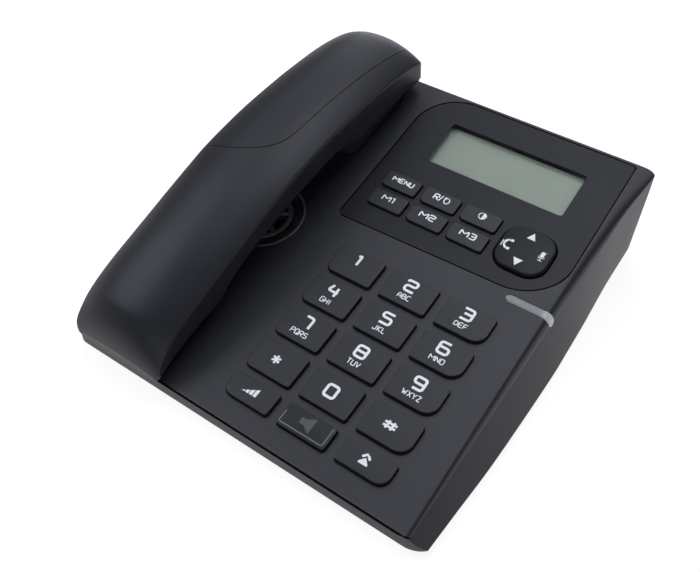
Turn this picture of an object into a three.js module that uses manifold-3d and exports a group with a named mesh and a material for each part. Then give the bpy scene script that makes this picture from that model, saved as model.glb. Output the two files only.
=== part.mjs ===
// Desk telephone: a low wedge base with a curved face, keys, a display panel and a cradle,
// and a separate handset lying in the cradle on the left.
//
// Millimetres, +Z up. The base faces -Y: the front lip is low and the face climbs towards +Y.
// Three places are used: the ground frame of the base, a spot on the curved face (across,
// distance along the face from its front edge, height over it), and the handset's own frame,
// which is the ground frame tipped by the slope of the face at its front edge.

import * as THREE from 'three';
import { mergeVertices } from 'three/addons/utils/BufferGeometryUtils.js';
import Module from 'manifold-3d';

const wasm = await Module();
wasm.setup();

// Driving dimensions of the base
const BASE_HALF_WIDTH = 89.5;
const FACE_LENGTH = 204;
const FACE_RADIUS = 1864;
const FACE_SLOPE = THREE.MathUtils.degToRad(8);
const FRONT_HEIGHT = 10.6;
const BASE_CHAMFER = 1.8;
const FOOT_STAND = 1.5;
const WALL = 2.2;
const FLOOR = 2;
const CORNER_RADIUS = 12;
const FRONT_LEFT_RADIUS = 4;
const REAR_RADIUS = 7.4;
const GAP = 0.3;
const OVERRUN = 1;
const REACH = 400;

// The right edge: the face rolls down a band to a crease, and the flank runs from there to the floor
const BAND_X = 76.4;
const BAND_REACH = 8.8;
const CREASE_DROP = 5;
const FLANK_REACH = 12;
const LEFT_LEAN = 1.8;
const LEFT_BAND = 2.2;
const CREASE_SHARES = [[0, 0.25], [0.24, 0.32], [0.51, 0.4], [0.68, 0.51], [0.86, 0.65], [1, 1]];
const DROP_SHARES = [[0, 0.26], [0.1, 0.5], [0.24, 0.76], [0.51, 1], [0.68, 0.88], [0.86, 0.52], [1, 0.24]];
const FLANK_SHARES = [[0, 0.71], [0.1, 0.8], [0.24, 0.93], [0.37, 0.978], [0.51, 1], [0.6, 0.963],
  [0.68, 0.922], [0.86, 0.79], [1, 0.76]];
const LEFT_CREASE_X = BASE_HALF_WIDTH - LEFT_LEAN;
const LEFT_BAND_X = LEFT_CREASE_X - LEFT_BAND;
const RIGHT_X = BAND_X + FLANK_REACH;
const BAND_SHOULDER_SHARE = 0.62;
const STATION_SHARES = [0, 0.05, 0.1, 0.24, 0.37, 0.51, 0.6, 0.68, 0.86, 1];

// Keys: columns and rows are given by the front right corner of each key
const KEYPAD_X = 6.9;
const KEY_PITCH_X = 27.4;
const KEY_PITCH_S = 19.1;
const KEY_WIDTH = 22.5;
const KEY_DEPTH = 14.9;
const KEY_RISE = 2;
const TOP_ROW_S = 82;
const KEY_TRAVEL = 1.2;
const FUNCTION_S = 10.1;
const FUNCTION_DEPTH = 10.4;
const KEYPAD_BACK_S = TOP_ROW_S + KEY_DEPTH;
const SMALL_X = -3.7;
const SMALL_SHARE = 0.3651;
const SMALL_PITCH_X = 21;
const SMALL_PITCH_S = 12.4;
const SMALL_WIDTH = 18;
const SMALL_DEPTH = 9.2;
const SMALL_RISE = 1.4;
const SMALL_TRAVEL = 1;
const KEY_GAP = 0.4;
const FLANGE_REACH = 1.3;
const FLANGE = 0.7;
const KEY_BEVEL = 0.5;
const SHARP_RADIUS = 1.2;
const BACK_RADIUS = 2;
const LEFT_ROUND_RADIUS = 3.4;
const RIGHT_ROUND_RADIUS = 6;
const FUNCTION_ROUND_RADIUS = 5;
const SMALL_ROUND_RADIUS = 2.4;

// Navigation key
const NAV_X = 54.6;
const NAV_SHARE = 0.3492;
const NAV_WIDTH = 24.4;
const NAV_RADIUS = 8.5;
const NAV_RISE = 1.8;
const NAV_BEVEL = 0.9;
const NAV_RIM_GAP = 0.6;
const NAV_ROCK_GAP = 1;
const NAV_DOME_REACH = 8;
const PIVOT_RADIUS = 3;
const PIVOT_HOLE_DEPTH = 2;

// Display panel, window and display
const PANEL = 1.4;
const SEAT = 2.5;
const PANEL_LEFT = -29.3;
const PANEL_SIDE_MARGIN = 0.4;
const PANEL_RIGHT = BAND_X - PANEL_SIDE_MARGIN;
const PANEL_FRONT_SHARE = 0.1373;
const PANEL_REAR_MARGIN = 3;
const PANEL_BACK_S = FACE_LENGTH - PANEL_REAR_MARGIN;
const PANEL_RADIUS = 22;
const PANEL_CORNER = 3;
const PANEL_RISE = 3.6;
const SEAT_MARGIN = 1.6;
const DISPLAY_X = 24.1;
const DISPLAY_SHARE = 0.7143;
const DISPLAY_WIDTH = 70.4;
const DISPLAY_DEPTH = 26.6;
const DISPLAY_CORNER = 1.4;
const WINDOW = 1.2;
const WINDOW_MARGIN = 2;
const WINDOW_SETBACK = 0.2;
const LEDGE_MARGIN = 0.8;
const GLASS_MARGIN = 0.4;
const DISPLAY_BODY_MARGIN = 3;

// Rubber mats and boards
const DOME = 0.7;
const DOME_RADIUS = 3.4;
const DOME_TOP_RADIUS = 2.2;
const MAT = 0.6;
const BOARD = 1.2;
const MAT_MARGIN = 1.5;
const BOARD_MARGIN = 2.2;
const BOARD_FRONT_S = 9.6;
const POST_RADIUS = 2.4;
const POST_INSET = 3.4;

// Ring lamp lens on the right edge of the face
const LENS_X = 58.6;
const LENS_SHARE = 0.1195;
const LENS_WIDTH = 4;
const LENS = 1.6;
const LENS_PROUD = 0.25;
const LAMP = 2.6;

// Loudspeaker and its grille, between the two cradle wells
const GRILLE_OFFSET = 0.8;
const GRILLE_SHARE = 0.5283;
const GRILLE_RADIUS = 21;
const GRILLE_DEPTH = 1.6;
const GRILLE_PLATE = 2;
const GRILLE_RINGS = [[0, 1, 2.4], [12.2, 6, 4.3]];
const SPEAKER_RADIUS = 18;
const SPEAKER_RIM = 2;
const SPEAKER_BASKET = 7;
const SPEAKER_MAGNET_RADIUS = 9;
const SPEAKER_MAGNET = 5;

// Cradle: wells cut square to the handset's frame
const HANDSET_INSET = 28.2;
const HANDSET_X = -BASE_HALF_WIDTH + HANDSET_INSET;
const EAR_CUP_WIDTH = 36;
const EAR_CUP_LENGTH = 50;
const EAR_CUP_REAR_MARGIN = 10;
const EAR_CUP_BACK = FACE_LENGTH - EAR_CUP_REAR_MARGIN;
const EAR_CUP_FRONT = EAR_CUP_BACK - EAR_CUP_LENGTH;
const EAR_CUP_BOTTOM = 2.9;
const MOUTH_CUP_WIDTH = 34;
const MOUTH_CUP_FRONT = 6;
const MOUTH_CUP_BACK = 38;
const MOUTH_CUP_BOTTOM = -2.6;
const CUP_RADIUS = 6;
const WELL_GAP = 0.7;
const SEAT_GAP = 0.4;
const WELL_FLOOR = 2;
const WELL_WALL = 2;

// Hook plunger and switch
const PLUNGER_SETBACK = 6.5;
const PLUNGER_Y = EAR_CUP_FRONT + PLUNGER_SETBACK;
const PLUNGER_WIDTH = 11;
const PLUNGER_DEPTH = 6;
const PLUNGER_TRAVEL = 4;
const PLUNGER_FLANGE = 1.2;
const PLUNGER_FLANGE_REACH = 1.5;
const PLUNGER_STEM = 5;
const HOOK_SWITCH_HEIGHT = 9;
const HOOK_SWITCH_WIDTH = 20;
const HOOK_SWITCH_DEPTH = 6.4;

// Hook tab that holds the handset when the base hangs on a wall
const TAB_SHARE = 0.9057;
const TAB_WIDTH = 12;
const TAB_THICK = 2;
const TAB_HEIGHT = 8;

// Screws, feet, ballast, microphone
const BOSS_RADIUS = 3.4;
const SCREW_RADIUS = 1.2;
const SCREW_HEAD_RADIUS = 3;
const SCREW_HEAD = 1.8;
const SCREW_LENGTH = 9.6;
const SCREW_RECESS = 3;
const SCREW_PAD = 2.6;
const SCREW_PAD_RADIUS = 5.2;
const SCREW_SLOT = 0.7;
const SCREW_SIDE_INSET = 5.6;
const FRONT_SCREW_INSET = 13;
const REAR_SCREW_INSET = 14.1;
const CRADLE_SCREW_SETBACK = 11;
const EAR_SCREW_SETBACK = 28;
const FOOT_RADIUS = 6;
const FOOT = 2.5;
const FOOT_RECESS = 1.2;
const FOOT_SIDE_INSET = 17.5;
const FOOT_BAND_INSET = 4.4;
const FRONT_FOOT_INSET = 16;
const FRONT_FOOT_STEP = 10;
const REAR_FOOT_INSET = 16.1;
const REAR_FOOT_STEP = 12;
const BALLAST_WIDTH = 58;
const BALLAST_DEPTH = 52;
const BALLAST = 4;
const BALLAST_X = 12;
const BALLAST_REAR_MARGIN = 54.1;
const MIC_RADIUS = 3;
const MIC = 3;
const MIC_X = 34;
const MIC_HOLE = 0.8;

// Modular jacks
const JACK_WIDTH = 13;
const JACK_HEIGHT = 12;
const JACK_DEPTH = 15;
const SOCKET_WIDTH = 9.8;
const SOCKET_HEIGHT = 6.8;
const SOCKET_DEPTH = 12;
const LINE_JACK_X = 34;
const CORD_JACK_SETBACK = 24;
const HANDSET_JACK_WIDTH = 11.4;
const HANDSET_JACK_HEIGHT = 9.6;
const HANDSET_JACK_Y = 19;
const HANDSET_JACK_DEPTH = 13;
const HANDSET_SOCKET_WIDTH = 7.8;
const HANDSET_SOCKET_HEIGHT = 6.6;
const HANDSET_SOCKET_DEPTH = 10.4;

// Handset
const HANDSET_WIDTH = 47.2;
const HANDSET_FRONT = -2.2;
const HANDSET_LENGTH = 204.6;
const HANDSET_CROWN = 43.3;
const HANDSET_WALL = 2;
const HANDSET_CORNER = 6;
const HANDSET_NOSE_CORNER = 2.6;
const HANDSET_TAPER = 2.6;
const ARCH_POWER = 2.2;
const ARCH_SEGMENTS = 8;
const EDGE_RADIUS = 1.6;
const EDGE_STEPS = 2;
const CROWN_SHARES = [[0, 0.16], [0.006, 0.27], [0.017, 0.38], [0.033, 0.475], [0.06, 0.575], [0.135, 0.68],
  [0.218, 0.77], [0.304, 0.845], [0.4, 0.92], [0.505, 0.975], [0.62, 1], [0.76, 0.984], [0.888, 0.93],
  [0.945, 0.885], [0.978, 0.82], [0.994, 0.73], [1, 0.63]];
const EDGE_SHARES = [[0, 0.1], [0.006, 0.18], [0.017, 0.25], [0.033, 0.31], [0.06, 0.39], [0.1, 0.465],
  [0.15, 0.53], [0.2, 0.58], [0.25, 0.63], [0.317, 0.7], [0.387, 0.767], [0.447, 0.82], [0.5, 0.845],
  [0.6, 0.867], [0.72, 0.85], [0.8, 0.82], [0.85, 0.795], [0.9, 0.755], [0.94, 0.71], [0.98, 0.65],
  [1, 0.58]];
const SEAM_SHARES = [[0, 0.07], [0.02, 0.14], [0.06, 0.27], [0.12, 0.4], [0.18, 0.48], [0.25, 0.555],
  [0.36, 0.65], [0.49, 0.735], [0.6, 0.766], [0.715, 0.76], [0.839, 0.658], [0.905, 0.585], [0.965, 0.447],
  [1, 0.4]];
const UNDER_SHARES = [[0, 0.03], [0.205, 0.03], [0.245, 0.16], [0.3, 0.27], [0.4, 0.36], [0.5, 0.4],
  [0.62, 0.41], [0.675, 0.36], [0.71, 0.24], [0.73, 0.225], [1, 0.34]];
const HANDSET_STATION_SHARES = [0, 0.006, 0.017, 0.033, 0.06, 0.12, 0.205, 0.245, 0.3, 0.4, 0.5, 0.62,
  0.675, 0.71, 0.76, 0.84, 0.9, 0.94, 0.978, 0.994, 1];
const INLAY = 1.2;
const INLAY_FRONT_SHARES = [[-0.6, 0.452], [-0.34, 0.453], [-0.14, 0.46], [0, 0.475], [0.12, 0.496],
  [0.19, 0.52], [0.228, 0.55], [0.246, 0.6], [0.254, 0.683], [0.278, 0.804], [0.314, 0.946], [0.34, 1.05]];
const EAR_HOLE = 1.1;
const EAR_HOLE_RING = 6;
const EAR_HOLES = 6;
const RECEIVER_RADIUS = 15;
const RECEIVER = 7;
const RECEIVER_STEP = 2;
const TRANSMITTER_RADIUS = 5;
const TRANSMITTER = 4.5;
const WEIGHT_LENGTH = 46;
const WEIGHT_WIDTH = 16;
const WEIGHT_HEIGHT = 7;
const MOUTH_SCREW_SETBACK = 12;
const EAR_SCREW_LEAD = 10;
const HANDSET_BOSS_RADIUS = 3;
const HANDSET_SCREW_HEAD = 1.4;
const HANDSET_SCREW_HEAD_RADIUS = 2.4;
const HANDSET_SCREW_LENGTH = 9;
const HANDSET_SCREW_RECESS = 2.4;
const HANDSET_PAD = 3.6;

const ARC_STEPS = 4;
const SHARP_STEPS = 1;
const ROUND_STEPS = 20;
const HOLE_STEPS = 8;
const POST_STEPS = 10;

// Solids
function toSolid(geometry) {
  const bare = geometry.clone();
  bare.deleteAttribute('normal');
  bare.deleteAttribute('uv');
  const merged = mergeVertices(bare);
  const vertProperties = new Float32Array(merged.attributes.position.array);
  const triVerts = new Uint32Array(merged.index.array);
  const solid = new wasm.Manifold(new wasm.Mesh({ numProp: 3, vertProperties, triVerts }));
  if (solid.volume() >= 0) return solid;
  for (let i = 0; i < triVerts.length; i += 3) {
    [triVerts[i + 1], triVerts[i + 2]] = [triVerts[i + 2], triVerts[i + 1]];
  }
  return new wasm.Manifold(new wasm.Mesh({ numProp: 3, vertProperties, triVerts }));
}

function toGeometry(solid) {
  const { vertProperties, triVerts } = solid.getMesh();
  const geometry = new THREE.BufferGeometry();
  geometry.setAttribute('position', new THREE.BufferAttribute(new Float32Array(vertProperties), 3));
  geometry.setIndex(new THREE.BufferAttribute(new Uint32Array(triVerts), 1));
  geometry.computeVertexNormals();
  return geometry;
}

function moved(solid, matrix) {
  return solid.transform(matrix.elements);
}

// Joins closed rings of points, one after the other, into one closed solid with flat ends
function skin(rings, flatten) {
  const count = rings[0].length;
  const positions = rings.flat().flatMap((p) => [p.x, p.y, p.z]);
  const index = [];
  for (let r = 0; r + 1 < rings.length; r += 1) {
    for (let i = 0; i < count; i += 1) {
      const a = r * count + i;
      const b = r * count + (i + 1) % count;
      index.push(a, b, a + count, b, b + count, a + count);
    }
  }
  const cap = (ring, start, forwards) => {
    const flat = ring.map(flatten);
    const same = THREE.ShapeUtils.isClockWise(flat) !== forwards;
    THREE.ShapeUtils.triangulateShape(flat, []).forEach(([a, b, c]) => {
      index.push(start + a, start + (same ? b : c), start + (same ? c : b));
    });
  };
  cap(rings[0], 0, false);
  cap(rings[rings.length - 1], (rings.length - 1) * count, true);
  const geometry = new THREE.BufferGeometry();
  geometry.setAttribute('position', new THREE.Float32BufferAttribute(positions, 3));
  geometry.setIndex(index);
  return toSolid(geometry);
}

const flatXZ = (p) => new THREE.Vector2(p.x, p.z);
const flatXY = (p) => new THREE.Vector2(p.x, p.y);

// A stack of outlines, each level being [height, outline]
function stack(levels) {
  return skin(levels.map(([z, outline]) => outline.map((p) => new THREE.Vector3(p.x, p.y, z))), flatXY);
}

function prism(outline, low, high) {
  return stack([[low, outline], [high, outline]]);
}

function block(x0, x1, y0, y1, z0, z1) {
  const box = new THREE.BoxGeometry(x1 - x0, y1 - y0, z1 - z0);
  box.translate((x0 + x1) / 2, (y0 + y1) / 2, (z0 + z1) / 2);
  return toSolid(box);
}

function disc(radius, low, high, x = 0, y = 0, top = radius, steps = ROUND_STEPS) {
  const drum = new THREE.CylinderGeometry(top, radius, high - low, steps);
  drum.rotateX(Math.PI / 2);
  drum.translate(x, y, (low + high) / 2);
  return toSolid(drum);
}

// A turned piece: the profile is a list of [radius, height] that starts and ends on the axis
function turned(profile, steps = ROUND_STEPS) {
  const lathe = new THREE.LatheGeometry(profile.map(([r, h]) => new THREE.Vector2(r, h)), steps);
  lathe.rotateX(Math.PI / 2);
  return toSolid(lathe);
}

// A rectangle from (x0, y0) to (x1, y1) with its own radius at each corner,
// in the order front left, front right, back right, back left
function rounded(x0, x1, y0, y1, radii, grow = 0) {
  const corners = [
    [x0 - grow, y0 - grow, 1, 1, Math.PI],
    [x1 + grow, y0 - grow, -1, 1, 1.5 * Math.PI],
    [x1 + grow, y1 + grow, -1, -1, 0],
    [x0 - grow, y1 + grow, 1, -1, 0.5 * Math.PI],
  ];
  return corners.flatMap(([x, y, dx, dy, start], i) => {
    const radius = Math.max(radii[i] + grow, GAP);
    const steps = radii[i] > SHARP_RADIUS ? ARC_STEPS : SHARP_STEPS;
    return Array.from({ length: steps + 1 }, (_, k) => {
      const angle = start + (k / steps) * Math.PI / 2;
      return new THREE.Vector2(x + radius * (dx + Math.cos(angle)), y + radius * (dy + Math.sin(angle)));
    });
  });
}

function evenly(radius) {
  return [radius, radius, radius, radius];
}

function interpolate(shares, t) {
  if (t <= shares[0][0]) return shares[0][1];
  for (let i = 1; i < shares.length; i += 1) {
    const [t1, v1] = shares[i];
    const [t0, v0] = shares[i - 1];
    if (t <= t1) return v0 + (v1 - v0) * (t - t0) / (t1 - t0);
  }
  return shares[shares.length - 1][1];
}

// The curved face
const slopeAt = (s) => FACE_SLOPE + s / FACE_RADIUS;
const faceY = (s) => FACE_RADIUS * (Math.sin(slopeAt(s)) - Math.sin(FACE_SLOPE));
const faceZ = (s) => FRONT_HEIGHT + FACE_RADIUS * (Math.cos(FACE_SLOPE) - Math.cos(slopeAt(s)));

function onFace(x, s, height = 0) {
  const matrix = new THREE.Matrix4().makeRotationX(slopeAt(s));
  matrix.setPosition(x, faceY(s) - height * Math.sin(slopeAt(s)), faceZ(s) + height * Math.cos(slopeAt(s)));
  return matrix;
}

const handsetFrame = new THREE.Matrix4().makeRotationX(FACE_SLOPE).setPosition(0, 0, FRONT_HEIGHT);

const creaseX = (s) => BAND_X + BAND_REACH * interpolate(CREASE_SHARES, s / FACE_LENGTH);
const creaseDrop = (s) => CREASE_DROP * interpolate(DROP_SHARES, s / FACE_LENGTH);
const flankX = (s) => BAND_X + FLANK_REACH * interpolate(FLANK_SHARES, s / FACE_LENGTH);
const stations = STATION_SHARES.map((share) => share * FACE_LENGTH);

// Places of the groups behind the keypad and of the grille and the tab between the two wells
const behindKeypad = (share) => KEYPAD_BACK_S + share * (FACE_LENGTH - KEYPAD_BACK_S);
const betweenWells = (share) => MOUTH_CUP_BACK + share * (EAR_CUP_FRONT - MOUTH_CUP_BACK);
const rearY = faceY(FACE_LENGTH);
const smallS = behindKeypad(SMALL_SHARE);
const navS = behindKeypad(NAV_SHARE);
const lensS = behindKeypad(LENS_SHARE);
const panelFrontS = behindKeypad(PANEL_FRONT_SHARE);
const displayS = behindKeypad(DISPLAY_SHARE);
const grilleX = HANDSET_X + GRILLE_OFFSET;
const grilleS = betweenWells(GRILLE_SHARE);
const tabS = betweenWells(TAB_SHARE);
const cordJackY = grilleS - CORD_JACK_SETBACK;
const ballastY = rearY - BALLAST_REAR_MARGIN;
const frontScrewX = BAND_X - SCREW_SIDE_INSET;
const baseScrews = [
  [HANDSET_X, MOUTH_CUP_BACK + CRADLE_SCREW_SETBACK],
  [frontScrewX, FRONT_SCREW_INSET],
  [frontScrewX, rearY - REAR_SCREW_INSET],
  [HANDSET_X, EAR_CUP_FRONT + EAR_SCREW_SETBACK],
];
const leftFootX = -BASE_HALF_WIDTH + FOOT_SIDE_INSET;
const rightFootX = BAND_X - FOOT_BAND_INSET;
const feet = [
  [leftFootX, FRONT_FOOT_INSET],
  [rightFootX, FRONT_FOOT_INSET + FRONT_FOOT_STEP],
  [leftFootX, rearY - REAR_FOOT_INSET],
  [rightFootX - FOOT_RADIUS, rearY - REAR_FOOT_INSET - REAR_FOOT_STEP],
];
const handsetScrewYs = [MOUTH_CUP_BACK + MOUTH_SCREW_SETBACK, EAR_CUP_FRONT - EAR_SCREW_LEAD];

// One upright cross section of the whole base, drawn in by a wall at its sides and by a roof under the face
function baseRing(s, inset, roof, y) {
  const z = faceZ(s);
  const drop = creaseDrop(s);
  const shoulder = inset ? 0 : drop * (1 - BAND_SHOULDER_SHARE);
  const low = FOOT_STAND + (inset ? FLOOR : 0);
  const chamfer = inset ? 0 : BASE_CHAMFER;
  const flank = flankX(s) - inset;
  const outline = [
    [-BASE_HALF_WIDTH + inset, low],
    [flank - chamfer, low],
    ...(chamfer ? [[flank, low + chamfer]] : []),
    [creaseX(s) - inset, z - drop],
    [creaseX(s) * BAND_SHOULDER_SHARE + BAND_X * (1 - BAND_SHOULDER_SHARE) - inset, z - shoulder - roof],
    [BAND_X - inset, z - roof],
    [-LEFT_BAND_X + inset, z - roof],
    [-LEFT_CREASE_X + inset, z - drop],
  ];
  return outline.map(([x, height]) => new THREE.Vector3(x, y, height));
}

function baseSolid(inset, roof) {
  const rings = stations.map((s) => {
    const held = THREE.MathUtils.clamp(s, inset, FACE_LENGTH - inset);
    return baseRing(held, inset, roof, faceY(held));
  });
  const radii = [FRONT_LEFT_RADIUS, CORNER_RADIUS, REAR_RADIUS, REAR_RADIUS];
  const plan = (grow) => rounded(-BASE_HALF_WIDTH, RIGHT_X, 0, rearY, radii, grow);
  const column = inset ? prism(plan(-inset), -OVERRUN, REACH) : stack([
    [FOOT_STAND, plan(-BASE_CHAMFER)],
    [FOOT_STAND + BASE_CHAMFER, plan(0)],
    [REACH, plan(0)],
  ]);
  return skin(rings, flatXZ).intersect(column);
}

// Everything over, or under, the seam that runs below the edge of the face
function aboveSeam(rise) {
  const rings = stations.map((s, i) => {
    const beyond = i === 0 ? -OVERRUN : (i === stations.length - 1 ? OVERRUN : 0);
    const z = faceZ(s) - creaseDrop(s) + rise;
    const corners = [[-REACH, z], [REACH, z], [REACH, REACH], [-REACH, REACH]];
    return corners.map(([x, height]) => new THREE.Vector3(x, faceY(s) + beyond, height));
  });
  return skin(rings, flatXZ);
}

const outer = baseSolid(0, 0);
const inner = baseSolid(WALL, WALL);
const open = baseSolid(WALL, -OVERRUN);
const core = baseSolid(WALL + GAP, 0)
  .intersect(block(-REACH, REACH, -REACH, REACH, FOOT_STAND + FLOOR + GAP, REACH));
const over = aboveSeam(GAP / 2);
const notUnder = aboveSeam(-GAP / 2);
const coverSpace = core.add(outer.intersect(over));

// Key outlines, in the plane of the face around each key's own centre
function keyOutline(width, depth, radii, grow) {
  return rounded(-width / 2, width / 2, -depth / 2, depth / 2, radii, grow);
}

const KEY_FLANGE_TOP = -WALL - GAP;
const KEY_BOTTOM = KEY_FLANGE_TOP - FLANGE;
const SEAT_BOTTOM = -PANEL - GAP - SEAT;
const SMALL_FLANGE_TOP = SEAT_BOTTOM - GAP;
const SMALL_BOTTOM = SMALL_FLANGE_TOP - FLANGE;
const DOME_TOP = KEY_BOTTOM - KEY_TRAVEL - GAP;
const MAT_TOP = DOME_TOP - DOME;
const BOARD_TOP = MAT_TOP - MAT - GAP;
const SMALL_DOME_TOP = SMALL_BOTTOM - SMALL_TRAVEL - GAP;
const SMALL_MAT_TOP = SMALL_DOME_TOP - DOME;
const SMALL_BOARD_TOP = SMALL_MAT_TOP - MAT - GAP;

const sharp = SHARP_RADIUS;
const columnRadii = [
  [LEFT_ROUND_RADIUS, sharp, sharp, BACK_RADIUS],
  evenly(sharp),
  [sharp, RIGHT_ROUND_RADIUS, BACK_RADIUS, sharp],
];
const functionRound = FUNCTION_ROUND_RADIUS;
const functionRadii = [
  [functionRound, sharp, sharp, sharp],
  evenly(sharp),
  [sharp, functionRound, sharp, sharp],
];
const smallRound = SMALL_ROUND_RADIUS;
const smallRadii = [smallRound, sharp, sharp, sharp];

const keys = [];
const keyRows = [['1', '2', '3'], ['4', '5', '6'], ['7', '8', '9'], ['star', '0', 'hash']];
keyRows.forEach((row, r) => row.forEach((label, c) => {
  keys.push({
    name: `key_${label}`,
    x: KEYPAD_X + c * KEY_PITCH_X - KEY_WIDTH / 2,
    s: TOP_ROW_S - r * KEY_PITCH_S + KEY_DEPTH / 2,
    width: KEY_WIDTH,
    depth: KEY_DEPTH,
    radii: columnRadii[c],
  });
}));
['volume_key', 'speaker_key', 'flash_key'].forEach((name, c) => {
  keys.push({
    name,
    x: KEYPAD_X + c * KEY_PITCH_X - KEY_WIDTH / 2,
    s: FUNCTION_S + FUNCTION_DEPTH / 2,
    width: KEY_WIDTH,
    depth: FUNCTION_DEPTH,
    radii: functionRadii[c],
  });
});

const smallKeys = [];
const smallRows = [
  ['menu_key', 'redial_key', 'contrast_key'],
  ['memory_key_1', 'memory_key_2', 'memory_key_3'],
];
smallRows.forEach((row, r) => row.forEach((name, c) => {
  smallKeys.push({
    name,
    x: SMALL_X + c * SMALL_PITCH_X - SMALL_WIDTH / 2,
    s: smallS - r * SMALL_PITCH_S + SMALL_DEPTH / 2,
    width: SMALL_WIDTH,
    depth: SMALL_DEPTH,
    radii: smallRadii,
  });
}));

function keySolid(key, top, flangeTop, bottom) {
  const outline = (grow) => keyOutline(key.width, key.depth, key.radii, grow);
  return stack([
    [bottom, outline(FLANGE_REACH)],
    [flangeTop, outline(FLANGE_REACH)],
    [flangeTop, outline(0)],
    [top - KEY_BEVEL, outline(0)],
    [top, outline(-KEY_BEVEL)],
  ]);
}

function keyHole(key) {
  const outline = keyOutline(key.width, key.depth, key.radii, KEY_GAP);
  return moved(prism(outline, SMALL_FLANGE_TOP, OVERRUN), onFace(key.x, key.s));
}

// A slab that follows the face
function faceSlab(x0, x1, s0, s1, low, high, steps) {
  const rings = Array.from({ length: steps + 1 }, (_, k) => {
    const s = s0 + (s1 - s0) * k / steps;
    const corners = [[x0, low], [x1, low], [x1, high], [x0, high]];
    return corners.map(([x, n]) => new THREE.Vector3(x, 0, n).applyMatrix4(onFace(0, s)));
  });
  return skin(rings, flatXZ);
}

const MAT_STEPS = 4;

// The panel's outline: a D with two large corners; its front edge bows a little towards the back
function panelOutline(grow) {
  const body = rounded(PANEL_LEFT, PANEL_RIGHT, panelFrontS, PANEL_BACK_S,
    [PANEL_CORNER, PANEL_RADIUS, PANEL_CORNER, PANEL_RADIUS], grow);
  const span = PANEL_RIGHT - PANEL_LEFT;
  return body.map((p) => {
    const across = (p.x - PANEL_LEFT) / span;
    const along = (p.y - panelFrontS) / (PANEL_BACK_S - panelFrontS);
    return new THREE.Vector2(p.x, p.y + PANEL_RISE * across * across * (1 - along));
  });
}

// The panel lies along the face between its front and back: bent by moving each point on to the face
function bent(solid) {
  return solid.warp((v) => {
    const matrix = onFace(v[0], v[1], v[2]);
    [v[0], v[1], v[2]] = [matrix.elements[12], matrix.elements[13], matrix.elements[14]];
  });
}

const PANEL_STRIPS = 4;

function panelSheet(grow, low, high) {
  const sheet = prism(panelOutline(grow), low, high);
  const cuts = Array.from({ length: PANEL_STRIPS - 1 }, (_, k) => {
    const s = panelFrontS + (PANEL_BACK_S - panelFrontS) * (k + 1) / PANEL_STRIPS;
    return s;
  });
  const whole = cuts.reduce((parts, s) => {
    const last = parts.pop();
    const [front, back] = last.splitByPlane([0, -1, 0], -s);
    return [...parts, front, back];
  }, [sheet]);
  return whole.map(bent).reduce((sum, part) => sum.add(part));
}

function displayRect(margin) {
  return keyOutline(DISPLAY_WIDTH, DISPLAY_DEPTH, evenly(DISPLAY_CORNER), margin);
}

const navOutline = (grow) => keyOutline(NAV_WIDTH, NAV_WIDTH, evenly(NAV_RADIUS), grow);
const navPlace = onFace(NAV_X, navS);
const displayPlace = onFace(DISPLAY_X, displayS);

const panelHoles = smallKeys.map(keyHole);
panelHoles.push(moved(prism(navOutline(NAV_RIM_GAP), SMALL_FLANGE_TOP, OVERRUN), navPlace));

function cutAll(solid, cutters) {
  return cutters.reduce((rest, cutter) => rest.subtract(cutter), solid);
}

function addAll(solid, parts) {
  return parts.reduce((sum, part) => sum.add(part), solid);
}

// The lens: a bar along X that bends down over the band
function lensSolid(grow, proud, depth) {
  const low = -depth;
  const rings = [-LENS_WIDTH / 2 - grow, LENS_WIDTH / 2 + grow].map((along) => {
    const s = lensS + along;
    const drop = creaseDrop(s);
    const crease = creaseX(s);
    const shoulder = BAND_X + (crease - BAND_X) * BAND_SHOULDER_SHARE;
    const top = [
      [LENS_X - grow, proud],
      [BAND_X, proud],
      [shoulder + proud, proud - drop * (1 - BAND_SHOULDER_SHARE)],
      [crease + proud, -drop + GAP],
    ];
    const under = [
      [crease - depth, -drop + GAP],
      [shoulder - depth, low - drop * (1 - BAND_SHOULDER_SHARE)],
      [BAND_X - depth, low],
      [LENS_X - grow, low],
    ];
    return [...top, ...under].map(([x, n]) => new THREE.Vector3(x, faceY(s), faceZ(s) + n));
  });
  return skin(rings, flatXZ);
}

// Cradle wells in the handset's frame
function cupOutline(width, front, back, grow) {
  return rounded(HANDSET_X - width / 2, HANDSET_X + width / 2, front, back, evenly(CUP_RADIUS), grow);
}

const earWell = (grow, low, high) => moved(
  prism(cupOutline(EAR_CUP_WIDTH, EAR_CUP_FRONT, EAR_CUP_BACK, grow), low, high), handsetFrame);
const mouthWell = (grow, low, high) => moved(
  prism(cupOutline(MOUTH_CUP_WIDTH, MOUTH_CUP_FRONT, MOUTH_CUP_BACK, grow), low, high), handsetFrame);
const earFloor = EAR_CUP_BOTTOM - SEAT_GAP;
const mouthFloor = MOUTH_CUP_BOTTOM - SEAT_GAP;

const plungerRect = (grow) => rounded(HANDSET_X - PLUNGER_WIDTH / 2, HANDSET_X + PLUNGER_WIDTH / 2,
  PLUNGER_Y - PLUNGER_DEPTH / 2, PLUNGER_Y + PLUNGER_DEPTH / 2, evenly(SHARP_RADIUS), grow);

const tabBox = (grow, low, high) => moved(block(
  HANDSET_X - TAB_WIDTH / 2 - grow, HANDSET_X + TAB_WIDTH / 2 + grow,
  -TAB_THICK / 2 - grow, TAB_THICK / 2 + grow, low, high), onFace(0, tabS));

// Holes of the grille, as rings of round holes around the centre
const grillePlace = onFace(grilleX, grilleS);
const grilleHoles = GRILLE_RINGS.flatMap(([radius, count, hole]) => Array.from({ length: count }, (_, k) => {
  const angle = (k / count) * 2 * Math.PI;
  return moved(disc(hole, -REACH / 4, REACH / 4, radius * Math.cos(angle), radius * Math.sin(angle),
    hole, POST_STEPS), grillePlace);
}));

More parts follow.
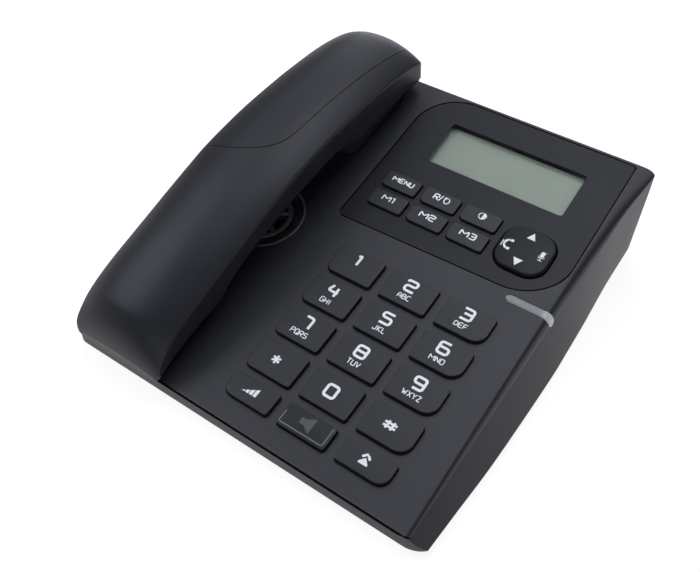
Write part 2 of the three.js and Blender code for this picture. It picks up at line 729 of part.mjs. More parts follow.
const floorTop = FOOT_STAND + FLOOR;
const padTop = floorTop + SCREW_PAD;
const screwFoot = FOOT_STAND + SCREW_RECESS - SCREW_HEAD - GAP;
const atGround = (x, y, z = 0) => new THREE.Matrix4().makeTranslation(x, y, z);

function upperHousing() {
  let shell = outer.subtract(inner).intersect(coverSpace);
  const thick = [
    earWell(WELL_GAP + WELL_WALL, earFloor - WELL_FLOOR, REACH / 4),
    mouthWell(WELL_GAP + WELL_WALL, mouthFloor - WELL_FLOOR, REACH / 4),
    moved(disc(GRILLE_RADIUS + WALL, -GRILLE_DEPTH - GRILLE_PLATE, OVERRUN), grillePlace),
    tabBox(GAP + WALL, -TAB_HEIGHT - GAP - WALL, OVERRUN),
  ];
  shell = addAll(shell, thick.map((part) => part.intersect(coverSpace)));
  shell = shell.add(panelSheet(SEAT_MARGIN, SEAT_BOTTOM, -PANEL).intersect(coverSpace));
  const bosses = baseScrews.map(([x, y]) => disc(BOSS_RADIUS, padTop + GAP, REACH / 4, x, y)
    .intersect(coverSpace).subtract(earWell(WELL_GAP, earFloor, REACH / 4)));
  shell = addAll(shell, bosses);
  const bores = baseScrews.map(([x, y]) => disc(SCREW_RADIUS + GAP, 0, screwFoot + SCREW_LENGTH + GAP, x, y));
  return cutAll(shell, [
    ...bores,
    earWell(WELL_GAP, earFloor, REACH / 4),
    mouthWell(WELL_GAP, mouthFloor, REACH / 4),
    moved(disc(GRILLE_RADIUS, -GRILLE_DEPTH, OVERRUN), grillePlace),
    ...grilleHoles.map((hole) => hole.intersect(moved(disc(GRILLE_RADIUS, -WALL * 2, OVERRUN), grillePlace))),
    tabBox(GAP, -TAB_HEIGHT - GAP, OVERRUN),
    panelSheet(GAP, -PANEL - GAP, OVERRUN),
    moved(prism(displayRect(WINDOW_MARGIN + GAP), -PANEL - GAP - WINDOW - GAP, OVERRUN), displayPlace),
    moved(prism(displayRect(LEDGE_MARGIN), SEAT_BOTTOM - OVERRUN, OVERRUN), displayPlace),
    ...keys.map(keyHole),
    ...panelHoles,
    moved(prism(plungerRect(GAP), earFloor - WELL_FLOOR - OVERRUN, earFloor + OVERRUN), handsetFrame),
    lensSolid(GAP, OVERRUN, LENS + GAP),
  ]);
}

// Boards, flat, each tangent to the face at its middle
const boardMiddle = (BOARD_FRONT_S + TOP_ROW_S + KEY_DEPTH + BOARD_MARGIN) / 2;
const boardLeft = KEYPAD_X - KEY_WIDTH - BOARD_MARGIN;
const boardRight = KEYPAD_X + 2 * KEY_PITCH_X + BOARD_MARGIN;
const boardHalf = boardMiddle - BOARD_FRONT_S;
const boardPlace = onFace(0, boardMiddle);
const panelBoardFront = lensS - LENS_WIDTH - LAMP;
const panelBoardBack = PANEL_BACK_S - BOARD_MARGIN;
const panelBoardMiddle = (panelBoardFront + panelBoardBack) / 2;
const panelBoardHalf = (panelBoardBack - panelBoardFront) / 2;
const panelBoardLeft = PANEL_LEFT + BOARD_MARGIN;
const panelBoardRight = baseScrews[2][0] - BOSS_RADIUS - OVERRUN;
const panelBoardPlace = onFace(0, panelBoardMiddle);

function posts(left, right, half, place, bottom) {
  const below = moved(block(-REACH, REACH, -REACH, REACH, -REACH, bottom - GAP), place);
  const spots = [[left, -half], [right, -half], [right, half], [left, half]].map(([x, y]) => {
    const inX = x - Math.sign(x - (left + right) / 2) * POST_INSET;
    const inY = y - Math.sign(y) * POST_INSET;
    return new THREE.Vector3(inX, inY, bottom).applyMatrix4(place);
  });
  const post = (p) => disc(POST_RADIUS, FOOT_STAND, REACH / 4, p.x, p.y, POST_RADIUS, POST_STEPS);
  return spots.map((p) => post(p).intersect(below));
}

const jackLow = floorTop + GAP;
const socketLow = jackLow + (JACK_HEIGHT - SOCKET_HEIGHT) / 2;
const lineJackBack = rearY - WALL - GAP;
const cordJackLeft = -LEFT_CREASE_X + WALL + GAP;
const hookSwitchTop = new THREE.Vector3(HANDSET_X, PLUNGER_Y, earFloor - WELL_FLOOR - PLUNGER_TRAVEL
  - PLUNGER_FLANGE - PLUNGER_STEM - GAP * 2);

function lowerHousing() {
  const shell = outer.subtract(open).subtract(notUnder);
  const pads = baseScrews.map(([x, y]) => disc(SCREW_PAD_RADIUS, FOOT_STAND, padTop, x, y));
  const boardPosts = [
    ...posts(boardLeft, boardRight, boardHalf, boardPlace, BOARD_TOP - BOARD),
    ...posts(panelBoardLeft, panelBoardRight, panelBoardHalf, panelBoardPlace, SMALL_BOARD_TOP - BOARD),
  ];
  const switchSeat = moved(block(HANDSET_X - HOOK_SWITCH_WIDTH / 2, HANDSET_X + HOOK_SWITCH_WIDTH / 2,
    PLUNGER_Y - HOOK_SWITCH_DEPTH / 2, PLUNGER_Y + HOOK_SWITCH_DEPTH / 2,
    -REACH / 4, hookSwitchTop.z - HOOK_SWITCH_HEIGHT - GAP), handsetFrame)
    .intersect(block(-REACH, REACH, -REACH, REACH, FOOT_STAND, REACH));
  const whole = addAll(shell, [...pads, ...boardPosts, switchSeat]).intersect(outer);
  return cutAll(whole, [
    ...baseScrews.map(([x, y]) => disc(SCREW_HEAD_RADIUS + GAP, 0, FOOT_STAND + SCREW_RECESS, x, y)),
    ...baseScrews.map(([x, y]) => disc(SCREW_RADIUS + GAP, 0, padTop + OVERRUN, x, y)),
    ...feet.map(([x, y]) => disc(FOOT_RADIUS + GAP, 0, FOOT_STAND + FOOT_RECESS, x, y)),
    disc(MIC_HOLE, 0, floorTop + OVERRUN, MIC_X, WALL + GAP + MIC_RADIUS),
    block(LINE_JACK_X - SOCKET_WIDTH / 2, LINE_JACK_X + SOCKET_WIDTH / 2,
      rearY - WALL - OVERRUN, rearY + OVERRUN, socketLow, socketLow + SOCKET_HEIGHT),
    block(-BASE_HALF_WIDTH - OVERRUN, cordJackLeft, cordJackY - SOCKET_WIDTH / 2,
      cordJackY + SOCKET_WIDTH / 2, socketLow, socketLow + SOCKET_HEIGHT),
  ]);
}

function displayPanel() {
  return cutAll(panelSheet(0, -PANEL, 0), [
    ...panelHoles,
    moved(prism(displayRect(0), -WALL * 2, OVERRUN), displayPlace),
  ]);
}

function keypadMat() {
  const plate = faceSlab(boardLeft + MAT_MARGIN, boardRight - MAT_MARGIN, BOARD_FRONT_S + MAT_MARGIN / 2,
    TOP_ROW_S + KEY_DEPTH, MAT_TOP - MAT, MAT_TOP, MAT_STEPS);
  const domes = keys.map((key) => moved(disc(DOME_RADIUS, MAT_TOP - MAT / 2, DOME_TOP, 0, 0,
    DOME_TOP_RADIUS, HOLE_STEPS), onFace(key.x, key.s)));
  return addAll(plate, domes);
}

const smallMatFront = navS - NAV_WIDTH / 2;
const smallMatBack = Math.max(smallS + SMALL_DEPTH, navS + NAV_WIDTH / 2);

function panelMat() {
  const left = SMALL_X - SMALL_WIDTH - MAT_MARGIN;
  const right = NAV_X + NAV_WIDTH / 2 + MAT_MARGIN;
  const plate = faceSlab(left, right, smallMatFront, smallMatBack, SMALL_MAT_TOP - MAT, SMALL_MAT_TOP, 2);
  const domes = smallKeys.map((key) => moved(disc(DOME_RADIUS, SMALL_MAT_TOP - MAT / 2, SMALL_DOME_TOP, 0, 0,
    DOME_TOP_RADIUS, HOLE_STEPS), onFace(key.x, key.s)));
  const navDomes = [[-1, 0], [1, 0], [0, -1], [0, 1]].map(([x, y]) => moved(disc(DOME_RADIUS,
    SMALL_MAT_TOP - MAT / 2, SMALL_DOME_TOP, x * NAV_DOME_REACH, y * NAV_DOME_REACH, DOME_TOP_RADIUS,
    HOLE_STEPS), navPlace));
  const hole = moved(disc(PIVOT_RADIUS + GAP, SMALL_MAT_TOP - MAT * 2, SMALL_MAT_TOP + OVERRUN), navPlace);
  return addAll(plate, [...domes, ...navDomes]).subtract(hole);
}

// The navigation key tips on a pivot post: it stands on the post by a blind hole
const NAV_SKIRT_BOTTOM = SEAT_BOTTOM - NAV_ROCK_GAP - FLANGE;

function navKey() {
  const cap = stack([
    [NAV_SKIRT_BOTTOM, navOutline(FLANGE_REACH)],
    [NAV_SKIRT_BOTTOM + FLANGE, navOutline(FLANGE_REACH)],
    [NAV_SKIRT_BOTTOM + FLANGE, navOutline(0)],
    [NAV_RISE - NAV_BEVEL, navOutline(0)],
    [NAV_RISE, navOutline(-NAV_BEVEL)],
  ]);
  return cap.subtract(disc(PIVOT_RADIUS + GAP * 2, NAV_SKIRT_BOTTOM - OVERRUN,
    NAV_SKIRT_BOTTOM + PIVOT_HOLE_DEPTH));
}

function navPivot() {
  const foot = SMALL_BOARD_TOP + GAP;
  return disc(PIVOT_RADIUS, foot, NAV_SKIRT_BOTTOM + PIVOT_HOLE_DEPTH - GAP, 0, 0, PIVOT_RADIUS / 2);
}

function screw(head, headRadius, length) {
  const drive = block(-headRadius, headRadius, -SCREW_SLOT / 2, SCREW_SLOT / 2, -OVERRUN, head / 2);
  return turned([[0, 0], [headRadius, 0], [headRadius, head], [SCREW_RADIUS, head],
    [SCREW_RADIUS, length], [0, length]], ROUND_STEPS / 2).subtract(drive);
}

function jack(width, height, depth, socketWidth, socketHeight, socketDepth) {
  const side = (width - socketWidth) / 2;
  const foot = (height - socketHeight) / 2;
  return block(-width / 2, width / 2, 0, depth, 0, height)
    .subtract(block(-width / 2 + side, width / 2 - side, -OVERRUN, socketDepth, foot, foot + socketHeight));
}

function loudspeaker() {
  return turned([
    [0, -SPEAKER_RIM / 2],
    [SPEAKER_RADIUS - SPEAKER_RIM, 0],
    [SPEAKER_RADIUS, 0],
    [SPEAKER_RADIUS, -SPEAKER_RIM],
    [SPEAKER_MAGNET_RADIUS, -SPEAKER_BASKET],
    [SPEAKER_MAGNET_RADIUS, -SPEAKER_BASKET - SPEAKER_MAGNET],
    [0, -SPEAKER_BASKET - SPEAKER_MAGNET],
  ]);
}

// Handset, in its own frame: y runs from the mouth end to the ear end
const handsetBack = HANDSET_FRONT + HANDSET_LENGTH;
const halfWidth = HANDSET_WIDTH / 2;
const shareOf = (y) => (y - HANDSET_FRONT) / HANDSET_LENGTH;
const crownZ = (y) => HANDSET_CROWN * interpolate(CROWN_SHARES, shareOf(y));
const edgeZ = (y) => HANDSET_CROWN * interpolate(EDGE_SHARES, shareOf(y));
const seamZ = (y) => HANDSET_CROWN * interpolate(SEAM_SHARES, shareOf(y));
const underZ = (y) => HANDSET_CROWN * interpolate(UNDER_SHARES, shareOf(y));
const handsetStations = HANDSET_STATION_SHARES.map((share) => HANDSET_FRONT + share * HANDSET_LENGTH);

function clampedStations(inset) {
  return handsetStations.map((y) => THREE.MathUtils.clamp(y, HANDSET_FRONT + inset, handsetBack - inset))
    .filter((y, i, all) => i === 0 || y > all[i - 1]);
}

// One cross section of the crown: a low arch between two rounded edges, on a band that stands on the seam
function crownRing(y, inset, foot) {
  const half = halfWidth - inset;
  const low = seamZ(y) + foot;
  const edge = Math.max(edgeZ(y) - inset, low + GAP);
  const rise = Math.max(crownZ(y) - inset - edge, GAP);
  const corner = Math.min(EDGE_RADIUS, (edge - low) / 2);
  const side = Array.from({ length: EDGE_STEPS + 1 }, (_, k) => {
    const angle = (k / EDGE_STEPS) * Math.PI / 2;
    return [half - corner * (1 - Math.cos(angle)), edge - corner * (1 - Math.sin(angle))];
  });
  const arch = Array.from({ length: ARCH_SEGMENTS - 1 }, (_, k) => {
    const across = 1 - 2 * (k + 1) / ARCH_SEGMENTS;
    return [across * (half - corner), edge + rise * (1 - Math.abs(across) ** ARCH_POWER)];
  });
  const left = side.map(([x, z]) => [-x, z]).reverse();
  const outline = [[half, low], ...side, ...arch, ...left, [-half, low]];
  return outline.map(([x, z]) => new THREE.Vector3(x, y, z));
}

function underRing(y, inset, head) {
  const half = halfWidth - inset;
  const high = seamZ(y) + head;
  const low = underZ(y) + inset;
  const knee = low + (high - low) * BAND_SHOULDER_SHARE / 2;
  const outline = [
    [-half, high], [-half + HANDSET_TAPER / 2, knee], [-half + HANDSET_TAPER * 2, low],
    [half - HANDSET_TAPER * 2, low], [half - HANDSET_TAPER / 2, knee], [half, high],
  ];
  return outline.map(([x, z]) => new THREE.Vector3(x, y, z));
}

function handsetPlan(inset) {
  const radii = [HANDSET_NOSE_CORNER, HANDSET_NOSE_CORNER, HANDSET_CORNER, HANDSET_CORNER];
  const outline = rounded(-halfWidth, halfWidth, HANDSET_FRONT, handsetBack, radii, -inset);
  return prism(outline, -REACH / 4, REACH / 4);
}

const crownSolid = (inset, foot) => skin(
  clampedStations(inset).map((y) => crownRing(y, inset, foot)), flatXZ).intersect(handsetPlan(inset));
const underSolid = (inset, head) => skin(
  clampedStations(inset).map((y) => underRing(y, inset, head)), flatXZ).intersect(handsetPlan(inset));

// The inlay covers the ear end of the crown, left of a line that sweeps across and then runs back
function inlayPrism(grow) {
  const line = INLAY_FRONT_SHARES.map(([across, along]) => new THREE.Vector2(
    across * HANDSET_WIDTH + grow, HANDSET_FRONT + along * HANDSET_LENGTH - grow));
  const back = handsetBack + HANDSET_CORNER * 2;
  const left = -HANDSET_WIDTH;
  const outline = [new THREE.Vector2(left, line[0].y), ...line,
    new THREE.Vector2(line[line.length - 1].x, back), new THREE.Vector2(left, back)];
  return prism(outline, 0, REACH / 4);
}

const crownWhole = crownSolid(0, 0);
const cupLocal = (width, front, back, grow, low, high) => prism(
  rounded(-width / 2, width / 2, front, back, evenly(CUP_RADIUS), grow), low, high);

const handsetBosses = handsetScrewYs.map((y) => disc(HANDSET_BOSS_RADIUS,
  underZ(y) + HANDSET_PAD + GAP, REACH / 4, 0, y).intersect(crownSolid(HANDSET_WALL / 2, -HANDSET_CROWN)));
const handsetBores = handsetScrewYs.map((y) => disc(SCREW_RADIUS + GAP, underZ(y) - OVERRUN,
  underZ(y) + HANDSET_SCREW_RECESS + HANDSET_SCREW_LENGTH, 0, y));
const handsetRecesses = handsetScrewYs.map((y) => disc(HANDSET_SCREW_HEAD_RADIUS + GAP,
  underZ(y) - HANDSET_CROWN / 4, underZ(y) + HANDSET_SCREW_RECESS, 0, y));
const handsetPads = handsetScrewYs.map((y) => disc(HANDSET_BOSS_RADIUS + GAP + OVERRUN / 2,
  underZ(y) - HANDSET_CROWN / 4, underZ(y) + HANDSET_PAD, 0, y).intersect(underSolid(0, 0)));

function handsetTop() {
  const shell = crownWhole.subtract(crownSolid(HANDSET_WALL + INLAY, -HANDSET_WALL));
  const pocket = inlayPrism(GAP).subtract(crownSolid(INLAY + GAP, -HANDSET_CROWN / 2));
  return cutAll(addAll(shell, handsetBosses), [pocket, ...handsetBores]);
}

function handsetInlay() {
  return crownWhole.subtract(crownSolid(INLAY, -HANDSET_CROWN / 2)).intersect(inlayPrism(0));
}

const handsetJackX = -halfWidth + HANDSET_TAPER * 2 + HANDSET_WALL + GAP;
const handsetJackLow = underZ(HANDSET_JACK_Y) + HANDSET_WALL + GAP;
const transmitterY = MOUTH_CUP_BACK - HANDSET_WALL - GAP * 2 - TRANSMITTER_RADIUS;
const receiverY = (EAR_CUP_FRONT + EAR_CUP_BACK) / 2;

function handsetBottom() {
  const cups = [
    cupLocal(EAR_CUP_WIDTH, EAR_CUP_FRONT, EAR_CUP_BACK, 0, EAR_CUP_BOTTOM,
      underZ(EAR_CUP_FRONT) + HANDSET_WALL * 2),
    cupLocal(MOUTH_CUP_WIDTH, MOUTH_CUP_FRONT, MOUTH_CUP_BACK, 0, MOUTH_CUP_BOTTOM, underZ(0) + HANDSET_WALL),
  ];
  const hollows = [
    cupLocal(EAR_CUP_WIDTH, EAR_CUP_FRONT, EAR_CUP_BACK, -HANDSET_WALL, EAR_CUP_BOTTOM + HANDSET_WALL,
      HANDSET_CROWN / 2),
    cupLocal(MOUTH_CUP_WIDTH, MOUTH_CUP_FRONT, MOUTH_CUP_BACK, -HANDSET_WALL, MOUTH_CUP_BOTTOM + HANDSET_WALL,
      HANDSET_CROWN / 4),
  ];
  const shell = addAll(underSolid(0, -GAP), cups).subtract(underSolid(HANDSET_WALL, HANDSET_WALL));
  const hollow = cutAll(shell, hollows);
  const earHoles = Array.from({ length: EAR_HOLES }, (_, k) => {
    const angle = (k / EAR_HOLES) * 2 * Math.PI;
    return disc(EAR_HOLE, EAR_CUP_BOTTOM - OVERRUN, EAR_CUP_BOTTOM + HANDSET_WALL + OVERRUN,
      EAR_HOLE_RING * Math.cos(angle), receiverY + EAR_HOLE_RING * Math.sin(angle), EAR_HOLE, HOLE_STEPS);
  });
  const foot = (HANDSET_JACK_HEIGHT - HANDSET_SOCKET_HEIGHT) / 2;
  return cutAll(addAll(hollow, handsetPads), [
    ...earHoles,
    disc(EAR_HOLE, MOUTH_CUP_BOTTOM - OVERRUN, MOUTH_CUP_BOTTOM + HANDSET_WALL + OVERRUN, 0, transmitterY,
      EAR_HOLE, HOLE_STEPS),
    ...handsetBores,
    ...handsetRecesses,
    block(-halfWidth - OVERRUN, handsetJackX, HANDSET_JACK_Y - HANDSET_SOCKET_WIDTH / 2,
      HANDSET_JACK_Y + HANDSET_SOCKET_WIDTH / 2, handsetJackLow + foot,
      handsetJackLow + foot + HANDSET_SOCKET_HEIGHT),
  ]);
}

// Materials
const finish = (color, roughness, metalness = 0, more = {}) => new THREE.MeshStandardMaterial(
  { color, roughness, metalness, ...more });
const charcoal = () => finish(0x2c2c2f, 0.62);
const darkPlastic = () => finish(0x1d1e20, 0.55);
const keyPlastic = () => finish(0x28292c, 0.5);
const rubber = () => finish(0x151515, 0.9);
const steel = () => finish(0x9a9da0, 0.35, 1);
const boardGreen = () => finish(0x1f4a2c, 0.6);
const clearWindow = () => finish(0xa9b4ab, 0.1, 0, { transparent: true, opacity: 0.35 });

// Assembly
const phone = new THREE.Group();
const base = new THREE.Group();
const handset = new THREE.Group();
handset.applyMatrix4(new THREE.Matrix4().copy(handsetFrame)
  .multiply(new THREE.Matrix4().makeTranslation(HANDSET_X, 0, 0)));
phone.add(base, handset);

function place(group, name, solid, material, matrix) {
  const mesh = new THREE.Mesh(toGeometry(solid), material);
  mesh.name = name;
  if (matrix) mesh.applyMatrix4(matrix);
  group.add(mesh);
}

place(base, 'lower_housing', lowerHousing(), charcoal());
place(base, 'upper_housing', upperHousing(), charcoal());
place(base, 'display_panel', displayPanel(), charcoal());
place(base, 'display_window', stack([
  [-PANEL - GAP - WINDOW, displayRect(WINDOW_MARGIN)],
  [-PANEL - GAP, displayRect(WINDOW_MARGIN)],
  [-PANEL - GAP, displayRect(-GAP)],
  [-WINDOW_SETBACK, displayRect(-GAP)],
]), clearWindow(), displayPlace);
place(base, 'display_module', stack([
  [SMALL_BOARD_TOP + GAP, displayRect(DISPLAY_BODY_MARGIN)],
  [SEAT_BOTTOM - GAP, displayRect(DISPLAY_BODY_MARGIN)],
  [SEAT_BOTTOM - GAP, displayRect(GLASS_MARGIN)],
  [-PANEL - WINDOW - GAP * 3, displayRect(GLASS_MARGIN)],
]), finish(0x8c988e, 0.3), displayPlace);
place(base, 'keypad_mat', keypadMat(), rubber());
place(base, 'panel_key_mat', panelMat(), rubber());
place(base, 'main_board', block(boardLeft, boardRight, -boardHalf, boardHalf, BOARD_TOP - BOARD, BOARD_TOP),
  boardGreen(), boardPlace);
place(base, 'display_board', block(panelBoardLeft, panelBoardRight, -panelBoardHalf, panelBoardHalf,
  SMALL_BOARD_TOP - BOARD, SMALL_BOARD_TOP), boardGreen(), panelBoardPlace);
keys.forEach((key) => place(base, key.name, keySolid(key, KEY_RISE, KEY_FLANGE_TOP, KEY_BOTTOM),
  keyPlastic(), onFace(key.x, key.s)));
smallKeys.forEach((key) => place(base, key.name, keySolid(key, SMALL_RISE, SMALL_FLANGE_TOP, SMALL_BOTTOM),
  keyPlastic(), onFace(key.x, key.s)));
place(base, 'navigation_key', navKey(), darkPlastic(), navPlace);
place(base, 'navigation_pivot', navPivot(), darkPlastic(), navPlace);
place(base, 'ring_lamp_lens', lensSolid(0, LENS_PROUD, LENS), finish(0x8c8d90, 0.35));
place(base, 'ring_lamp', disc(LAMP / 2, SMALL_BOARD_TOP + GAP, -LENS - GAP * 2, 0, 0, LAMP / 2, HOLE_STEPS),
  finish(0xd8d8d0, 0.3), onFace(LENS_X + LAMP, lensS));
place(base, 'loudspeaker', loudspeaker(), steel(),
  onFace(grilleX, grilleS, -GRILLE_DEPTH - GRILLE_PLATE - GAP));
place(base, 'hook_plunger', stack([
  [earFloor - WELL_FLOOR - PLUNGER_TRAVEL - PLUNGER_FLANGE - PLUNGER_STEM, plungerRect(-PLUNGER_FLANGE)],
  [earFloor - WELL_FLOOR - PLUNGER_TRAVEL - PLUNGER_FLANGE - GAP, plungerRect(-PLUNGER_FLANGE)],
  [earFloor - WELL_FLOOR - PLUNGER_TRAVEL - PLUNGER_FLANGE - GAP, plungerRect(PLUNGER_FLANGE_REACH)],
  [earFloor - WELL_FLOOR - PLUNGER_TRAVEL - GAP, plungerRect(PLUNGER_FLANGE_REACH)],
  [earFloor - WELL_FLOOR - PLUNGER_TRAVEL - GAP, plungerRect(0)],
  [earFloor + SEAT_GAP / 4, plungerRect(0)],
]), darkPlastic(), handsetFrame);
place(base, 'hook_switch', block(HANDSET_X - HOOK_SWITCH_WIDTH / 2, HANDSET_X + HOOK_SWITCH_WIDTH / 2,
  PLUNGER_Y - HOOK_SWITCH_DEPTH / 2, PLUNGER_Y + HOOK_SWITCH_DEPTH / 2,
  hookSwitchTop.z - HOOK_SWITCH_HEIGHT, hookSwitchTop.z), darkPlastic(), handsetFrame);
place(base, 'hook_tab', tabBox(0, -TAB_HEIGHT, -GAP), darkPlastic());
place(base, 'base_microphone', disc(MIC_RADIUS, floorTop + GAP, floorTop + GAP + MIC, MIC_X,
  WALL + GAP + MIC_RADIUS), steel());
place(base, 'ballast_plate', block(BALLAST_X - BALLAST_WIDTH / 2, BALLAST_X + BALLAST_WIDTH / 2,
  ballastY - BALLAST_DEPTH / 2, ballastY + BALLAST_DEPTH / 2,
  floorTop + GAP, floorTop + GAP + BALLAST), steel());
place(base, 'line_jack', jack(JACK_WIDTH, JACK_HEIGHT, JACK_DEPTH, SOCKET_WIDTH, SOCKET_HEIGHT, SOCKET_DEPTH),
  darkPlastic(), atGround(LINE_JACK_X, lineJackBack, jackLow)
    .multiply(new THREE.Matrix4().makeRotationZ(Math.PI)));
place(base, 'cord_jack', jack(JACK_WIDTH, JACK_HEIGHT, JACK_DEPTH, SOCKET_WIDTH, SOCKET_HEIGHT, SOCKET_DEPTH),
  darkPlastic(), atGround(cordJackLeft, cordJackY, jackLow)
    .multiply(new THREE.Matrix4().makeRotationZ(-Math.PI / 2)));
feet.forEach(([x, y], i) => place(base, `foot_${i + 1}`, disc(FOOT_RADIUS, 0, FOOT),
  rubber(), atGround(x, y)));
baseScrews.forEach(([x, y], i) => place(base, `base_screw_${i + 1}`,
  screw(SCREW_HEAD, SCREW_HEAD_RADIUS, SCREW_LENGTH), steel(),
  atGround(x, y, screwFoot)));

place(handset, 'handset_top_shell', handsetTop(), charcoal());
place(handset, 'handset_ear_inlay', handsetInlay(), charcoal());
place(handset, 'handset_bottom_shell', handsetBottom(), charcoal());
place(handset, 'receiver_capsule', turned([
  [0, 0], [RECEIVER_RADIUS, 0], [RECEIVER_RADIUS, RECEIVER_STEP], [RECEIVER_RADIUS - RECEIVER_STEP, RECEIVER],
  [0, RECEIVER],
]), steel(), atGround(0, receiverY, EAR_CUP_BOTTOM + HANDSET_WALL + GAP));
place(handset, 'transmitter_capsule', disc(TRANSMITTER_RADIUS, 0, TRANSMITTER), steel(),
  atGround(0, transmitterY, MOUTH_CUP_BOTTOM + HANDSET_WALL + GAP));
const weightY = (handsetScrewYs[0] + handsetScrewYs[1]) / 2;
place(handset, 'handset_weight', block(-WEIGHT_WIDTH / 2, WEIGHT_WIDTH / 2,
  -WEIGHT_LENGTH / 2, WEIGHT_LENGTH / 2, 0, WEIGHT_HEIGHT), steel(),
  atGround(0, weightY, underZ(weightY + WEIGHT_LENGTH / 2) + HANDSET_WALL + GAP));
place(handset, 'handset_jack', jack(HANDSET_JACK_WIDTH, HANDSET_JACK_HEIGHT, HANDSET_JACK_DEPTH,
  HANDSET_SOCKET_WIDTH, HANDSET_SOCKET_HEIGHT, HANDSET_SOCKET_DEPTH), darkPlastic(),
  atGround(handsetJackX, HANDSET_JACK_Y, handsetJackLow)
    .multiply(new THREE.Matrix4().makeRotationZ(-Math.PI / 2)));
handsetScrewYs.forEach((y, i) => place(handset, `handset_screw_${i + 1}`,
  screw(HANDSET_SCREW_HEAD, HANDSET_SCREW_HEAD_RADIUS, HANDSET_SCREW_LENGTH), steel(),
  atGround(0, y, underZ(y) + HANDSET_SCREW_RECESS - HANDSET_SCREW_HEAD - GAP)));

// The origin is the middle of the footprint, on the ground
const box = new THREE.Box3().setFromObject(phone, true);
const middle = box.getCenter(new THREE.Vector3());
phone.position.set(-middle.x, -middle.y, -box.min.z);
phone.updateMatrixWorld(true);

const telephone = new THREE.Group();
telephone.add(phone);

export default telephone;
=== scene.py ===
# %% [markdown]
# A desk telephone in matt charcoal plastic, seen from the front right and above.
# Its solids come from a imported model, which holds the places, the sizes and the moving bodies.
# The cells below dress that model: each visible casing, key and seam gets a finer mesh and a finish.
# %% The frame
import math
from collections import namedtuple
from contextlib import contextmanager

import bmesh
import bpy
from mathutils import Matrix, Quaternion, Vector


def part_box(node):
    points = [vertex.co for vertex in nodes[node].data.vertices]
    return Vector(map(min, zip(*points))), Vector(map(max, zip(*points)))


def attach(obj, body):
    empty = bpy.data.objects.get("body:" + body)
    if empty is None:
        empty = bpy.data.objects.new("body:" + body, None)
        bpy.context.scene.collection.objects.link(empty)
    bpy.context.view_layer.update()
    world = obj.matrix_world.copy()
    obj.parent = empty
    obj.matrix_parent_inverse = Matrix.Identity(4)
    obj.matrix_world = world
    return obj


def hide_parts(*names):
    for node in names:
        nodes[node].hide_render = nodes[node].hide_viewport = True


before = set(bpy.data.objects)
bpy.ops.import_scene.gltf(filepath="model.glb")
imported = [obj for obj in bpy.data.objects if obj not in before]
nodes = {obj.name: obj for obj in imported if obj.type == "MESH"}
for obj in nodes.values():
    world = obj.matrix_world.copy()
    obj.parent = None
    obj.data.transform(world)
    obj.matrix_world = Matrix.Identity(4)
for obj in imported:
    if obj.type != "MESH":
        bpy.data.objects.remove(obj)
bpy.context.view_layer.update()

# %% [markdown]
# The telephone has two frames of its own. On the base, x runs from its middle, y from the front edge of the face
# and z from the table. The handset lies tipped back by the slope of the face at its front edge.
# Sizes are in millimetres, so a scale turns them into metres once, where a point is placed.
# %% Places
MM = 0.001
BASE_HALF_WIDTH = 89.5
FRONT_HEIGHT = 10.6
FACE_LENGTH = 204.0
FACE_RADIUS = 1864.0
FACE_SLOPE = math.radians(8)
HANDSET_X = -61.3
tray_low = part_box("lower_housing")[0]
HOME = Vector((tray_low.x + BASE_HALF_WIDTH * MM, tray_low.y, 0))


def spot(x, y, z):
    return HOME + Vector((x, y, z)) * MM


def slope_at(s):
    return FACE_SLOPE + s / FACE_RADIUS


def face_y(s):
    return FACE_RADIUS * (math.sin(slope_at(s)) - math.sin(FACE_SLOPE))


def face_z(s):
    return FRONT_HEIGHT + FACE_RADIUS * (math.cos(FACE_SLOPE) - math.cos(slope_at(s)))


def on_face(x, s, height=0.0):
    slope = slope_at(s)
    return spot(x, face_y(s) - height * math.sin(slope), face_z(s) + height * math.cos(slope))


def key_plane(x, s):
    """Places points that are given around a key's centre, on the plane that touches the face there."""
    def place(u, v, height):
        slope = slope_at(s)
        y = face_y(s) + v * math.cos(slope) - height * math.sin(slope)
        return spot(x + u, y, face_z(s) + v * math.sin(slope) + height * math.cos(slope))
    return place


def grip(x, y, z):
    """Places points of the handset's frame."""
    cos, sin = math.cos(FACE_SLOPE), math.sin(FACE_SLOPE)
    return spot(HANDSET_X + x, y * cos - z * sin, FRONT_HEIGHT + (y * sin + z * cos))


print("home:", tuple(round(v, 5) for v in HOME))

# %% [markdown]
# The camera stands where the photographer stood: the lens and the place were worked out from straight edges and
# rows of keys. A camera or a light is aimed by turning its -Z axis to a point, and the camera is then rolled a
# little about that axis.
# %% Camera
CAMERA_PLACE, CAMERA_AIM = (130.07, -123.98, 271.88), (-0.33, 77.68, 25.0)
CAMERA_ROLL = math.radians(2.311)
CAMERA_LENS, CAMERA_CLIP = 41.12, 0.01


def add_object(name, data):
    thing = bpy.data.objects.new(name, data)
    bpy.context.scene.collection.objects.link(thing)
    return thing


def aim(thing, place, target, roll=0.0):
    thing.location = place
    thing.rotation_mode = "QUATERNION"
    thing.rotation_quaternion = (target - place).to_track_quat("-Z", "Y") @ Quaternion((0, 0, 1), roll)


camera = add_object("camera", bpy.data.cameras.new("camera"))
camera.data.lens = CAMERA_LENS
camera.data.clip_start = CAMERA_CLIP
aim(camera, spot(*CAMERA_PLACE), spot(*CAMERA_AIM), CAMERA_ROLL)
bpy.context.scene.camera = camera
print("camera at", tuple(round(v, 3) for v in camera.location))

# %% [markdown]
# ## Finishes
# Moulded plastic looks flat if it is one colour. The real casing has a fine spark texture, faint clouds of gloss
# where it is handled, and edges that are rubbed a little smoother and paler; the paler edges are a painted edge
# highlight as well. Such a finish takes many small nodes, so helpers come first: they add a node, and set or link its
# inputs by their names.
# %% Node helpers
NOISE_LOW, NOISE_HIGH = 0.3, 0.7


